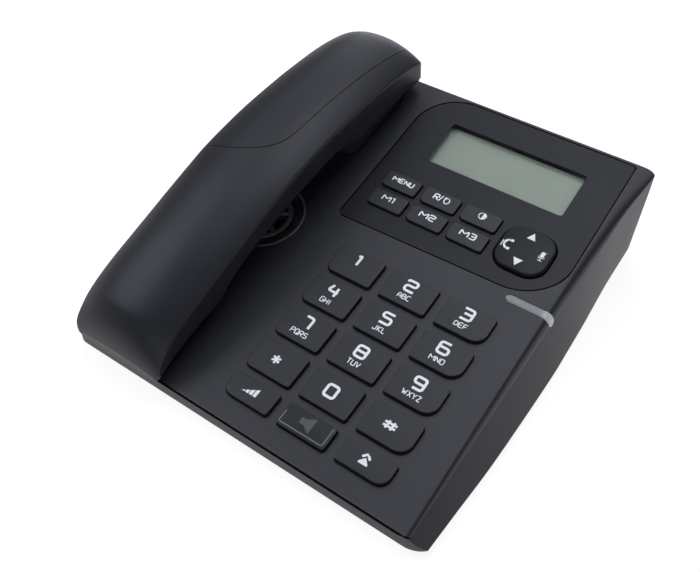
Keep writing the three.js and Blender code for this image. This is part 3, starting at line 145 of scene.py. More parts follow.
def fill(tree, node, values):
    for name, value in values.items():
        if isinstance(value, bpy.types.NodeSocket):
            tree.links.new(value, node.inputs[name])
        else:
            node.inputs[name].default_value = value
    return node


def add(tree, kind, values=None, **settings):
    node = tree.nodes.new("ShaderNode" + kind)
    for name, value in settings.items():
        setattr(node, name, value)
    return fill(tree, node, values or {})


def coordinates(tree, kind="Object"):
    return add(tree, "TexCoord").outputs[kind]


def noise(tree, vector, scale, detail, roughness=0.5):
    values = {"Vector": vector, "Scale": scale, "Detail": detail, "Roughness": roughness}
    return add(tree, "TexNoise", values).outputs["Fac"]


def spread(tree, value, low, high, start=NOISE_LOW, end=NOISE_HIGH, **settings):
    """Maps a value from between start and end, where most of a noise lies, to between low and high."""
    values = {"Value": value, "From Min": start, "From Max": end, "To Min": low, "To Max": high}
    return add(tree, "MapRange", values, **settings).outputs["Result"]


def maths(tree, operation, a, b):
    return add(tree, "Math", {0: a, 1: b}, operation=operation).outputs["Value"]


def scaled(tree, colour, factor):
    return add(tree, "VectorMath", {0: colour, "Scale": factor}, operation="SCALE").outputs["Vector"]


def blend(tree, factor, first, second):
    return add(tree, "MixRGB", {"Fac": factor, "Color1": (*first, 1), "Color2": (*second, 1)}).outputs["Color"]


def bump(tree, height, strength, distance):
    return add(tree, "Bump", {"Strength": strength, "Distance": distance, "Height": height}).outputs["Normal"]


print("a noise is taken to lie between", NOISE_LOW, "and", NOISE_HIGH)

# %% [markdown]
# Rubbing, clouds and grain are used by every plastic, so they are one node group: each plastic sets its own amounts
# and keeps its own Principled shader. The group reads object coordinates in metres, so a scale of 2000 makes grains
# of half a millimetre. The paler edges come from the Bevel node: where its rounded normal leaves the true one, there
# is an edge, and its colour is raised there both for rubbing and as a painted edge highlight.
# %% Moulded plastic group
EDGE_REACH, EDGE_SAMPLES, EDGE_GAIN = 0.0005, 4, 6.0
CLOUD_SCALE, CLOUD_DETAIL, CLOUD_ROUGHNESS = 38.0, 4.0, 0.6
GRAIN_DETAIL = 2.0
WORN_GLOSS, CLOUD_GLOSS = 0.2, 0.4


def new_group(name, inputs, outputs):
    tree = bpy.data.node_groups.new(name, "ShaderNodeTree")
    for side, sockets in (("INPUT", inputs), ("OUTPUT", outputs)):
        for label, kind in sockets.items():
            tree.interface.new_socket(name=label, in_out=side, socket_type="NodeSocket" + kind)
    return tree, tree.nodes.new("NodeGroupInput").outputs, tree.nodes.new("NodeGroupOutput")


def moulded_group():
    tree, given, result = new_group(
        "moulded plastic",
        {"Colour": "Color", "Roughness": "Float", "Grain scale": "Float", "Cloud": "Float", "Wear and highlight": "Float"},
        {"Colour": "Color", "Roughness": "Float", "Height": "Float"})
    place = coordinates(tree)
    clouds = noise(tree, place, CLOUD_SCALE, CLOUD_DETAIL, CLOUD_ROUGHNESS)
    rounded_normal = add(tree, "Bevel", {"Radius": EDGE_REACH}, samples=EDGE_SAMPLES).outputs["Normal"]
    normals = {0: rounded_normal, 1: add(tree, "NewGeometry").outputs["Normal"]}
    flat = add(tree, "VectorMath", normals, operation="DOT_PRODUCT").outputs["Value"]
    edge = maths(tree, "MULTIPLY", maths(tree, "SUBTRACT", 1.0, flat), EDGE_GAIN)
    # Paler edges: rubbed plastic and a painted edge highlight, which is strongest where a plastic's amount is high.
    edge = maths(tree, "MULTIPLY", maths(tree, "MINIMUM", edge, 1.0), given["Wear and highlight"])
    worn_and_highlit = maths(tree, "MULTIPLY", edge, spread(tree, clouds, 0.4, 1.0))
    shade = maths(tree, "MULTIPLY", spread(tree, clouds, -1.0, 1.0), given["Cloud"])
    gain = maths(tree, "ADD", maths(tree, "ADD", shade, worn_and_highlit), 1.0)
    gloss = maths(tree, "SUBTRACT", given["Roughness"], maths(tree, "MULTIPLY", worn_and_highlit, WORN_GLOSS))
    fill(tree, result, {
        "Colour": scaled(tree, given["Colour"], gain),
        "Roughness": maths(tree, "ADD", gloss, maths(tree, "MULTIPLY", shade, CLOUD_GLOSS)),
        "Height": noise(tree, place, given["Grain scale"], GRAIN_DETAIL)})
    return tree


MOULDED = moulded_group()
print("group:", MOULDED.name)

# %% [markdown]
# What a dark satin plastic mirrors is most of what is seen of it. So its Specular IOR Level is as telling as its
# colour: the panel around the display mirrors less than the housing. A Bump node turns the grain into a normal.
# %% Plastics
BUMP_SHARE = 0.1


def new_material(name):
    material = bpy.data.materials.new(name)
    material.use_nodes = True
    tree = material.node_tree
    return material, tree, tree.nodes["Principled BSDF"]


def plastic(name, colour, roughness, grain=0.5, relief=0.5, cloud=0.06, wear_and_highlight=0.5, specular=0.28):
    """grain is the size of the texture in millimetres, and relief is how strongly it shows."""
    material, tree, shader = new_material(name)
    amounts = {"Colour": (*colour, 1), "Roughness": roughness, "Grain scale": 1 / (grain * MM), "Cloud": cloud,
               "Wear and highlight": wear_and_highlight}
    group = add(tree, "Group", amounts, node_tree=MOULDED).outputs
    fill(tree, shader, {
        "Base Color": group["Colour"], "Roughness": group["Roughness"], "Specular IOR Level": specular,
        "Normal": bump(tree, group["Height"], relief, grain * MM * BUMP_SHARE)})
    return material


HOUSING = plastic("charcoal housing", (0.0145, 0.0152, 0.0200), 0.46, 0.45, 0.5, 0.05, 0.5, 0.35)
PANEL = plastic("charcoal panel", (0.0120, 0.0127, 0.0160), 0.40, 0.35, 0.35, 0.04, 0.4, 0.17)
HANDSET = plastic("charcoal handset", (0.0175, 0.0182, 0.0228), 0.44, 0.45, 0.5, 0.05, 0.4, 0.24)
# The keys' rims are painted paler by a high edge amount: a painted highlight where they catch light, over rubbing.
KEYTOP = plastic("key plastic", (0.0175, 0.0190, 0.0225), 0.44, 0.3, 0.3, 0.04, 1.2, 0.27)
# The grille is a paler copy of the housing plastic: painted light on its ring and web in the dish's shade.
LIT_GRILLE_PLASTIC = plastic("grille plastic with painted light", (0.0700, 0.0720, 0.0780), 0.36, 0.3, 0.3, 0.04, 0.5, 0.4)
NAVIGATION = plastic("polished key", (0.0085, 0.0092, 0.0112), 0.34, 0.3, 0.05, 0.05, 0.3, 0.13)
SMOKED = plastic("smoked key", (0.0150, 0.0165, 0.0180), 0.28, 0.3, 0.05, 0.05, 0.3, 0.22)
# A painted glint: the pale line along the edges of the loudspeaker key, where they catch the light.
PAINTED_GLINT = plastic("painted edge glint", (0.180, 0.186, 0.200), 0.4, 0.12, 0.3, 0.05, 0.0)
INNER = plastic("inner plastic", (0.010, 0.010, 0.011), 0.55, 0.5, 0.5, 0.1, 0.2)
PRINT = plastic("white print", (0.82, 0.84, 0.85), 0.5, 0.12, 0.3, 0.03, 0.0)
GREY_PRINT = plastic("grey print", (0.070, 0.0735, 0.084), 0.45, 0.12, 0.3, 0.05, 0.0)
RUBBER = plastic("black rubber", (0.010, 0.010, 0.010), 0.8, 0.25, 0.9, 0.2, 0.3)
print("plastics:", [m.name for m in bpy.data.materials])

# %% [markdown]
# The display is a pale reflective glass behind a clear window, and its back and left edges are painted darker,
# as painted shade from the rim around it.
# Generated coordinates run from 0 to 1 across an object, so a ramp over a part of them makes such a painted shade.
# The lamp's lens is a frosted light pipe, and a ramp paints light on its bent end, which is brighter than its flat
# part.
# %% Display and lens
DISPLAY_COLOUR, RIM_SHADE = (0.156, 0.172, 0.145), 0.45
LENS_COLOUR, LENS_END_PAINTED_LIGHT = (0.185, 0.188, 0.192), 2.9


def fade(tree, side, start, end, low, high):
    apart = add(tree, "SeparateXYZ", {"Vector": coordinates(tree, "Generated")})
    return spread(tree, apart.outputs[side], low, high, start, end, interpolation_type="SMOOTHSTEP")


def display_material():
    material, tree, shader = new_material("display glass")
    # Painted shade: the left and back edges darken, times a faint random tone.
    left, back = fade(tree, "X", 0.0, 0.05, RIM_SHADE, 1.0), fade(tree, "Y", 0.97, 0.87, RIM_SHADE, 1.0)
    clouds = noise(tree, coordinates(tree), 60.0, 2.0)
    shade = maths(tree, "MULTIPLY", maths(tree, "MULTIPLY", left, back), spread(tree, clouds, 0.97, 1.03))
    fill(tree, shader, {"Base Color": scaled(tree, DISPLAY_COLOUR, shade), "Specular IOR Level": 0.15,
                        "Roughness": spread(tree, clouds, 0.32, 0.42)})
    return material


def lens_material():
    material, tree, shader = new_material("frosted lens")
    # Painted light: the bent end of the lens is painted brighter than its flat part.
    gain = fade(tree, "X", 0.7, 0.97, 1.0, LENS_END_PAINTED_LIGHT)
    frost = spread(tree, noise(tree, coordinates(tree), 900.0, 3.0), 0.92, 1.08)
    fill(tree, shader, {"Base Color": scaled(tree, LENS_COLOUR, maths(tree, "MULTIPLY", gain, frost)),
                        "Roughness": spread(tree, frost, 0.3, 0.36)})
    return material


DISPLAY, LENS = display_material(), lens_material()
print("display and lens:", DISPLAY.name, LENS.name)

# %% [markdown]
# The window lets the light's rays through by a Light Path switch, because a plain glass shader would throw a black
# shadow on the display behind it. Its refraction is kept low, so that it hardly mirrors the panels. Brushed streaks
# roughen the metals, and a brick texture stands in for the tracks of the circuit boards.
# %% Window, metal and board
STREAK_SHADE = 0.75


def window_material():
    material, tree, shader = new_material("clear window")
    fill(tree, shader, {
        "Base Color": (0.93, 0.96, 0.94, 1), "Transmission Weight": 1.0, "IOR": 1.05, "Specular IOR Level": 0.15,
        "Roughness": spread(tree, noise(tree, coordinates(tree), 90.0, 3.0), 0.0, 0.006)})
    shadow = add(tree, "LightPath").outputs["Is Shadow Ray"]
    clear = add(tree, "BsdfTransparent").outputs["BSDF"]
    mix = add(tree, "MixShader", {0: shadow, 1: shader.outputs["BSDF"], 2: clear})
    fill(tree, tree.nodes["Material Output"], {"Surface": mix.outputs["Shader"]})
    return material


def metal_material(name, colour, roughness, brush):
    material, tree, shader = new_material(name)
    streaks = noise(tree, coordinates(tree), brush, 5.0, 0.7)
    fill(tree, shader, {
        "Metallic": 1.0, "Base Color": blend(tree, streaks, colour, [c * STREAK_SHADE for c in colour]),
        "Roughness": spread(tree, streaks, roughness * 0.7, roughness * 1.4),
        "Normal": bump(tree, streaks, 0.2, 0.0001)})
    return material


def board_material():
    material, tree, shader = new_material("circuit board")
    place = coordinates(tree)
    tracks = add(tree, "TexBrick", {
        "Vector": place, "Scale": 160.0, "Mortar Size": 0.05, "Color1": (0.010, 0.075, 0.030, 1),
        "Color2": (0.012, 0.085, 0.034, 1), "Mortar": (0.03, 0.15, 0.06, 1)}, offset=0.35)
    fill(tree, shader, {"Base Color": tracks.outputs["Color"],
                        "Roughness": spread(tree, noise(tree, place, 200.0, 3.0), 0.25, 0.4)})
    return material


WINDOW = window_material()
STEEL = metal_material("zinc-plated steel", (0.55, 0.56, 0.58), 0.35, 700.0)
GOLD = metal_material("gold-plated contact", (0.85, 0.6, 0.25), 0.25, 900.0)
BOARD = board_material()
print("materials:", len(bpy.data.materials))

# %% [markdown]
# ## The studio
# The telephone stands on a pale surface that glows a little, as a light table does. It lights the front wall and the
# flank from below. Panels stand over it and round it: those over the left make the handset shade the face beside it.
# A dark satin plastic shows its form mostly by what it mirrors, so the room beyond the panels is nearly black to it,
# and only the camera sees a pale backdrop there.
# %% Floor
FLOOR_SIZE, FLOOR_DROP, FLOOR_GLOW = 6.0, 0.0002, 0.88
FLOOR_TONES = (0.2, 0.2, 0.2), (0.21, 0.21, 0.21)


def floor_material():
    material, tree, shader = new_material("pale floor")
    fill(tree, shader, {
        "Base Color": blend(tree, noise(tree, coordinates(tree), 3.0, 2.0), *FLOOR_TONES), "Roughness": 0.9,
        "Specular IOR Level": 0.1, "Emission Color": (1, 1, 1, 1), "Emission Strength": FLOOR_GLOW})
    return material


half = FLOOR_SIZE / 2
floor = add_object("floor", bpy.data.meshes.new("floor"))
floor.data.from_pydata([(x, y, -FLOOR_DROP) for x, y in ((-half, -half), (half, -half), (half, half), (-half, half))],
                       [], [(0, 1, 2, 3)])
floor.data.materials.append(floor_material())
print("floor:", FLOOR_SIZE, "m wide")

# %% [markdown]
# Area lights are the panels: a large one gives a soft edge to its shadow and a broad reflection. Each has a place
# and a size in metres and a power in watts, and all of them aim at the middle of the telephone.
# %% Panels and backdrop
WORLD_LIGHT, BACKDROP = 0.04, 0.8
LIGHT_TINT, LIGHT_AIM = (0.95, 0.975, 1.06), Vector((0.0, 0.03, 0.02))
LIGHTS = {
    "rear_left_panel": ((-0.62, 0.62, 1.05), (1.0, 1.0), 3.0),
    "overhead_panel": ((0.05, 0.42, 1.33), (0.7, 0.7), 7.2),
    "front_left_panel": ((-0.8, -0.35, 1.0), (0.9, 0.9), 9.0),
    "right_panel": ((1.4, 0.65, 0.2), (1.2, 0.35), 3.0),
    "rear_panel": ((-0.5, 1.3, 0.35), (0.9, 0.6), 3.6),
    "rear_high_panel": ((-0.2, 1.1, 0.8), (0.8, 0.8), 0.8),
    "front_right_panel": ((0.75, -1.15, 0.6), (1.2, 0.6), 3.2),
}

bpy.context.scene.view_settings.view_transform = "Standard"
for light_name, (place, size, power) in LIGHTS.items():
    lamp = bpy.data.lights.new(light_name, "AREA")
    lamp.shape = "RECTANGLE"
    lamp.size, lamp.size_y = size
    lamp.energy = power
    lamp.color = LIGHT_TINT
    aim(add_object(light_name, lamp), Vector(place), LIGHT_AIM)
world = bpy.data.worlds.new("studio")
bpy.context.scene.world = world
world.use_nodes = True
seen = add(world.node_tree, "LightPath").outputs["Is Camera Ray"]
fill(world.node_tree, world.node_tree.nodes["Background"], {
    "Color": (1, 1, 1, 1), "Strength": spread(world.node_tree, seen, WORLD_LIGHT, BACKDROP, 0.0, 1.0)})
print("lights:", list(LIGHTS))

# %% [markdown]
# ## Mesh tools
# Nearly every casing here is a skin over cross sections: closed rings of points, each joined to the next. A function
# that is called place puts the points of a drawing where they belong: on the base, on a key or on the handset.
# %% Skins
def new_piece(name, points, faces):
    mesh = bpy.data.meshes.new(name)
    mesh.from_pydata([tuple(p) for p in points], [], faces)
    return add_object(name, mesh)


@contextmanager
def editing(piece):
    """Opens a piece's mesh, and writes it back after the edits."""
    work = bmesh.new()
    work.from_mesh(piece.data)
    yield work
    work.to_mesh(piece.data)
    work.free()


def outward(piece):
    with editing(piece) as work:
        bmesh.ops.recalc_face_normals(work, faces=work.faces)
    return piece


def skin(name, rings):
    """Joins closed rings of equal length, with a flat end on the first and the last."""
    count = len(rings[0])
    points = [p for ring in rings for p in ring]
    faces = [tuple(reversed(range(count)))]
    for r in range(len(rings) - 1):
        for i in range(count):
            a = r * count + i
            b = r * count + (i + 1) % count
            faces.append((a, b, b + count, a + count))
    faces.append(tuple(range(len(points) - count, len(points))))
    return outward(new_piece(name, points, faces))


def stack(name, levels, place):
    """A stack of outlines: each level is a height and its outline, in the plane that place gives."""
    return skin(name, [[place(u, v, height) for u, v in outline] for height, outline in levels])


def prism(name, outline, low, high, place):
    return stack(name, [(low, outline), (high, outline)], place)


def bar_faces(first, ring, count, closed=False):
    """Faces of a thin bar, whose points are added ring by ring. An open bar gets two flat ends."""
    faces = []
    for i in range(count if closed else count - 1):
        a, b = first + ring * i, first + ring * ((i + 1) % count)
        faces += [(a + k, b + k, b + (k + 1) % ring, a + (k + 1) % ring) for k in range(ring)]
    if not closed:
        last = first + ring * (count - 1)
        faces += [tuple(range(first, first + ring)), tuple(reversed(range(last, last + ring)))]
    return faces


print("faces of a square bar with three rings:", len(bar_faces(0, 4, 3)))

# %% [markdown]
# Holes are cut with Boolean modifiers, and a Bevel modifier then rounds the edges, as a mould would. Each modifier is
# applied at once, because the next step needs the mesh that it leaves.
# %% Cuts and rounded edges
MERGE = 0.00001
FLAT, SHARP = math.radians(0.05), math.radians(32)
FACE_WEIGHT = 100


def settle(piece):
    """Applies the modifiers of a piece."""
    bpy.context.view_layer.update()
    graph = bpy.context.evaluated_depsgraph_get()
    mesh = bpy.data.meshes.new_from_object(piece.evaluated_get(graph), depsgraph=graph)
    old = piece.data
    piece.modifiers.clear()
    piece.data = mesh
    mesh.name = piece.name
    bpy.data.meshes.remove(old)
    return piece


def carve(piece, tools, operation="DIFFERENCE"):
    for tool in tools:
        step = piece.modifiers.new("carve", "BOOLEAN")
        step.operation = operation
        step.solver = "MANIFOLD"
        step.object = tool
    settle(piece)
    for tool in tools:
        mesh = tool.data
        bpy.data.objects.remove(tool)
        bpy.data.meshes.remove(mesh)
    return piece


def soften(piece, width=0.0, segments=2):
    """Rounds the sharp edges and shades what is left smoothly."""
    with editing(piece) as work:
        bmesh.ops.remove_doubles(work, verts=work.verts, dist=MERGE)
        bmesh.ops.dissolve_limit(work, angle_limit=FLAT, verts=work.verts, edges=work.edges)
    if width:
        step = piece.modifiers.new("edge", "BEVEL")
        step.width = width * MM
        step.segments = segments
        step.limit_method = "ANGLE"
        step.angle_limit = SHARP
        step.miter_outer = "MITER_ARC"
        settle(piece)
    piece.data.shade_smooth()
    piece.data.set_sharp_from_angle(angle=SHARP)
    weigh = piece.modifiers.new("normals", "WEIGHTED_NORMAL")
    weigh.keep_sharp = True
    weigh.weight = FACE_WEIGHT
    return settle(piece)


def finish(piece, material, body, slot, *replaced):
    piece.data.materials.clear()
    piece.data.materials.append(material)
    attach(piece, body)
    if replaced:
        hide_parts(*replaced)
    print(piece.name, len(piece.data.polygons), "faces on", body)
    return piece


print("rounded are edges sharper than", round(math.degrees(SHARP)), "degrees")

# %% [markdown]
# Outlines are circles, or rectangles with a radius of their own at each corner. Their points all run the same way
# round, so outlines of one kind can be stacked.
# %% Outlines
ARC_STEPS = 8
LEAST_RADIUS = 0.05


def quarter(steps):
    return [k / steps * math.pi / 2 for k in range(steps + 1)]


def rounded(x0, x1, y0, y1, radii, grow=0.0, steps=ARC_STEPS, parts=1):
    """Corners run front left, front right, back right, back left. Each straight side has as many parts as given."""
    corners = [(x0 - grow, y0 - grow, 1, 1, 2), (x1 + grow, y0 - grow, -1, 1, 3),
               (x1 + grow, y1 + grow, -1, -1, 0), (x0 - grow, y1 + grow, 1, -1, 1)]
    bends = []
    for (x, y, dx, dy, turned), corner in zip(corners, radii):
        radius = max(corner + grow, LEAST_RADIUS)
        turns = [(turned + k / steps) * math.pi / 2 for k in range(steps + 1)]
        bends.append([(x + radius * (dx + math.cos(t)), y + radius * (dy + math.sin(t))) for t in turns])
    outline = []
    for bend, ahead in zip(bends, bends[1:] + bends[:1]):
        (xa, ya), (xb, yb) = bend[-1], ahead[0]
        outline += bend + [(xa + (xb - xa) * k / parts, ya + (yb - ya) * k / parts) for k in range(1, parts)]
    return outline


def centred(width, depth, radii, grow=0.0, steps=ARC_STEPS, parts=1):
    return rounded(-width / 2, width / 2, -depth / 2, depth / 2, radii, grow, steps, parts)


def circle(radius, x=0.0, y=0.0, steps=32):
    return [(x + radius * math.cos(2 * math.pi * k / steps), y + radius * math.sin(2 * math.pi * k / steps))
            for k in range(steps)]


def box(name, x0, x1, y0, y1, z0, z1, place=spot):
    return prism(name, [(x0, y0), (x1, y0), (x1, y1), (x0, y1)], z0, z1, place)


def drum(name, radius, x, y, z0, z1, place=spot, steps=32):
    return prism(name, circle(radius, x, y, steps), z0, z1, place)


print("points of a rounded outline:", len(centred(10, 10, [1] * 4)))

# %% [markdown]
# A table of shares gives how a height or a width runs along a piece, and a monotone cubic through it gives a smooth
# line that never overshoots.
# %% Smooth tables
def curve_through(table):
    xs, ys = zip(*table)
    steps = [(ys[i + 1] - ys[i]) / (xs[i + 1] - xs[i]) for i in range(len(xs) - 1)]
    tangents = [steps[0]]
    for a, b in zip(steps, steps[1:]):
        tangents.append(2 * a * b / (a + b) if a * b > 0 else 0.0)
    tangents.append(steps[-1])

    def value(x):
        x = min(max(x, xs[0]), xs[-1])
        i = max(k for k in range(len(xs) - 1) if xs[k] <= x)
        span = xs[i + 1] - xs[i]
        t = (x - xs[i]) / span
        rest = 1 - t
        return ((1 + 2 * t) * rest * rest * ys[i] + t * rest * rest * span * tangents[i]
                + t * t * (3 - 2 * t) * ys[i + 1] - t * t * rest * span * tangents[i + 1])
    return value


print("half way up a smooth step:", curve_through([(0, 0), (1, 0), (2, 1), (3, 1)])(1.5))

# %% [markdown]
# ## The base
# The face rolls down on its right to a crease, and the flank leans out from there to the table.
# How far the roll drops, where the crease runs and how far the flank reaches change along the base.
# %% Edges of the base
BAND_X, BAND_REACH, CREASE_DROP, FLANK_REACH = 76.4, 8.8, 5.0, 12.0
LEFT_CREASE_X, LEFT_BAND_X = 87.7, 85.5
STATIONS, ROLL_STEPS = 34, 8

crease_share = curve_through([(0, 0.25), (0.24, 0.32), (0.51, 0.4), (0.68, 0.51), (0.86, 0.65), (1, 1)])
drop_share = curve_through([(0, 0.26), (0.1, 0.5), (0.24, 0.76), (0.51, 1), (0.68, 0.88), (0.86, 0.52), (1, 0.24)])
flank_share = curve_through([
    (0, 0.71), (0.1, 0.8), (0.24, 0.93), (0.37, 0.978), (0.51, 1), (0.6, 0.963), (0.68, 0.922), (0.86, 0.79),
    (1, 0.76)])


def crease_x(s):
    return BAND_X + BAND_REACH * crease_share(s / FACE_LENGTH)


def crease_drop(s):
    return CREASE_DROP * drop_share(s / FACE_LENGTH)


def flank_x(s):
    return BAND_X + FLANK_REACH * flank_share(s / FACE_LENGTH)


def upright_skin(name, outline_at):
    """A skin over upright cross sections of the base: outline_at gives x and z at a place along the face."""
    stations = [FACE_LENGTH * k / STATIONS for k in range(STATIONS + 1)]
    return skin(name, [[spot(x, face_y(s), z) for x, z in outline_at(s)] for s in stations])


print("crease at mid length:", round(crease_x(102), 1), "drop:", round(crease_drop(102), 1))

# %% [markdown]
# The lower housing is a tray. One skin over upright cross sections gives its outside, and a second one hollows it.
# A column with the plan of the base trims both, because the corners of that plan are round.
# %% Tray shape
WALL, FLOOR_SHEET, FOOT_STAND, GAP = 2.2, 2.0, 1.5, 0.3
CORNERS, PLAN_STEPS = (4.0, 12.0, 7.4, 7.4), 14
BASE_CHAMFER, CHAMFER_STEPS, CHAMFER_CUT = 1.8, 4, 0.3
DEEP = 60.0
SEAM = 0.15
REAR = face_y(FACE_LENGTH)


def base_column(inset):
    """An upright column with the plan of the base; its bottom edge is rounded where it isn't drawn in."""
    def plan(grow):
        return rounded(-BASE_HALF_WIDTH, BAND_X + FLANK_REACH, 0, REAR, CORNERS, grow, PLAN_STEPS)
    if inset:
        return prism("plan", plan(-inset), -DEEP, DEEP * 2, spot)
    levels = [(FOOT_STAND + BASE_CHAMFER * (1 - math.cos(turn)), plan(-BASE_CHAMFER * (1 - math.sin(turn))))
              for turn in quarter(CHAMFER_STEPS)]
    return stack("plan", levels + [(DEEP * 2, plan(0))], spot)


def tray_body(name, inset, floor_z, rise):
    chamfer = 0 if inset else BASE_CHAMFER

    def outline_at(s):
        flank, top = flank_x(s) - inset, face_z(s) - crease_drop(s) + rise
        outline = [(-BASE_HALF_WIDTH + inset, floor_z), (flank - chamfer, floor_z)]
        if chamfer:
            outline += [(flank - chamfer * CHAMFER_CUT, floor_z + chamfer * CHAMFER_CUT), (flank, floor_z + chamfer)]
        return outline + [(crease_x(s) - inset, top), (-LEFT_CREASE_X + inset, top)]
    return carve(upright_skin(name, outline_at), [base_column(inset)], "INTERSECT")


tray = tray_body("base_tray", 0, FOOT_STAND, -SEAM)
print("tray before its cuts:", len(tray.data.polygons), "faces")

# %% [markdown]
# Small cuts make the openings of the jacks, the pockets of the screws, the seats of the feet and a hole for the
# microphone. A slab along the seam, less the plan drawn in, cuts the shadow line under the front edge of the face.
# %% Tray
GROOVE_LOW, GROOVE_TOP, GROOVE_DEPTH = 0.5, 0.55, 0.8
GROOVE_STATIONS = (0, 4, 8, 12, 16)
FEET = [(-72, 16), (72, 26), (-72, 184), (66, 172)]
BASE_SCREWS = [(-61.3, 49), (70.6, 13), (71, 186), (-61.3, 172)]
FOOT_RADIUS, FOOT_RECESS = 6.0, 1.2
SCREW_HEAD_RADIUS, SCREW_RECESS = 3.0, 3.0
SOCKET_WIDTH, SOCKET_HEIGHT, SOCKET_LOW = 9.8, 6.8, 6.4
LINE_JACK_X, CORD_JACK_Y = 34.0, 70.0
MIC_HOLE, MIC_X, MIC_Y = 0.8, 34.0, WALL + GAP + 3.0
TRAY_EDGE = 0.35


def groove():
    rings = []
    for s in GROOVE_STATIONS:
        low, top = face_z(s) - crease_drop(s) - GROOVE_LOW, face_z(s) - GROOVE_TOP
        outline = [(-DEEP * 3, low), (DEEP * 3, low), (DEEP * 3, top), (-DEEP * 3, top)]
        rings.append([spot(x, face_y(s) if s else -DEEP, z) for x, z in outline])
    return carve(skin("groove", rings), [base_column(GROOVE_DEPTH)])


def pocket(radius, x, y, depth):
    return drum("pocket", radius + GAP, x, y, 0, FOOT_STAND + depth)


def socket(x0, x1, y0, y1):
    return box("socket", x0, x1, y0, y1, SOCKET_LOW, SOCKET_LOW + SOCKET_HEIGHT)


carve(tray, [tray_body("hollow", WALL, FOOT_STAND + FLOOR_SHEET, WALL)]
      + [pocket(FOOT_RADIUS, x, y, FOOT_RECESS) for x, y in FEET]
      + [pocket(SCREW_HEAD_RADIUS, x, y, SCREW_RECESS / 2) for x, y in BASE_SCREWS]
      + [socket(LINE_JACK_X - SOCKET_WIDTH / 2, LINE_JACK_X + SOCKET_WIDTH / 2, REAR - WALL * 2, REAR + WALL),
         socket(-BASE_HALF_WIDTH - WALL, -BASE_HALF_WIDTH + WALL * 2.5, CORD_JACK_Y - SOCKET_WIDTH / 2,
                CORD_JACK_Y + SOCKET_WIDTH / 2),
         drum("mic_hole", MIC_HOLE, MIC_X, MIC_Y, 0, FOOT_STAND + FLOOR_SHEET * 2), groove()])
finish(soften(tray, TRAY_EDGE), HOUSING, "base", "housing_plastic", "lower_housing")

# %% [markdown]
# ## The keys
# Keys are named by their legends. The table below gives each key's centre on the face, its size and its corners:
# the outer corners of the left and right columns are large, and the others are nearly sharp.
# %% Key table
KEYPAD_X, KEY_PITCH_X, KEY_PITCH_S, KEY_WIDTH, KEY_DEPTH = 6.9, 27.4, 19.1, 22.5, 14.9
TOP_ROW_S, FUNCTION_S, FUNCTION_DEPTH = 82.0, 10.1, 10.4
SMALL_X, SMALL_S, SMALL_PITCH_X, SMALL_PITCH_S, SMALL_WIDTH, SMALL_DEPTH = -3.7, 136.0, 21.0, 12.4, 18.0, 9.2
PANEL_SHEET, SEAT_SHEET = 1.4, 2.5
KEY_RISE, SMALL_RISE, KEY_GAP = 2.0, 1.4, 0.4
KEY_FLANGE_TOP = -WALL - GAP
SEAT_BOTTOM = -PANEL_SHEET - GAP - SEAT_SHEET
SMALL_FLANGE_TOP = SEAT_BOTTOM - GAP
TIGHT, SMALL_CORNER = 1.2, 2.4
COLUMN_CORNERS = [(3.4, TIGHT, TIGHT, 2.0), (TIGHT,) * 4, (TIGHT, 6.0, 2.0, TIGHT)]
FUNCTION_CORNERS = [(5.0, TIGHT, TIGHT, TIGHT), (TIGHT,) * 4, (TIGHT, 5.0, TIGHT, TIGHT)]
LEGENDS = {"1": "", "2": "ABC", "3": "DEF", "4": "GHI", "5": "JKL", "6": "MNO", "7": "PQRS", "8": "TUV",
           "9": "WXYZ", "star": "", "0": "", "hash": ""}
NUMBER_KEYS = ["key_" + label for label in LEGENDS]
FUNCTION_KEYS = ["volume_key", "speaker_key", "flash_key"]
SMALL_KEYS = ["menu_key", "redial_key", "contrast_key", "memory_key_1", "memory_key_2", "memory_key_3"]

Key = namedtuple("Key", "x s width depth corners rise flange_top")
KEYS = {}


def add_keys(names, x, s, pitch_x, pitch_s, width, depth, corners, rise, flange_top):
    """Rows of three keys, from the back to the front; x and s are the right and the front side of the first key."""
    for n, name in enumerate(names):
        row, column = divmod(n, 3)
        KEYS[name] = Key(x + column * pitch_x - width / 2, s - row * pitch_s + depth / 2, width, depth,
                         corners[column], rise, flange_top)


add_keys(NUMBER_KEYS, KEYPAD_X, TOP_ROW_S, KEY_PITCH_X, KEY_PITCH_S, KEY_WIDTH, KEY_DEPTH, COLUMN_CORNERS, KEY_RISE,
         KEY_FLANGE_TOP)
add_keys(FUNCTION_KEYS, KEYPAD_X, FUNCTION_S, KEY_PITCH_X, 0, KEY_WIDTH, FUNCTION_DEPTH, FUNCTION_CORNERS, KEY_RISE,
         KEY_FLANGE_TOP)
add_keys(SMALL_KEYS, SMALL_X, SMALL_S, SMALL_PITCH_X, SMALL_PITCH_S, SMALL_WIDTH, SMALL_DEPTH,
         [(SMALL_CORNER, TIGHT, TIGHT, TIGHT)] * 3, SMALL_RISE, SMALL_FLANGE_TOP)
print("keys:", len(KEYS))

# %% [markdown]
# A key is a stack of outlines: a flange that holds it under the plate, straight sides, a rounded rim and a top that
# crowns slightly, so that it catches one soft highlight. The function for the crown also carries the printing.
# %% Key caps
FLANGE, FLANGE_REACH, KEY_EDGE = 0.7, 1.3, 0.28
CROWN, SIDE_PARTS, RIM_STEPS = 0.16, 8, 4
CAP_SHARES = (0.97, 0.9, 0.75, 0.5, 0.22)


def crown_height(width, depth, rise, crown=CROWN):
    """The height of the top over the face, for a point around the key's centre."""
    def height(u, v):
        across = max(0.0, 1 - (2 * u / width) ** 2)
        deep = max(0.0, 1 - (2 * v / depth) ** 2)
        return rise - crown / 2 + crown * across * deep
    return height


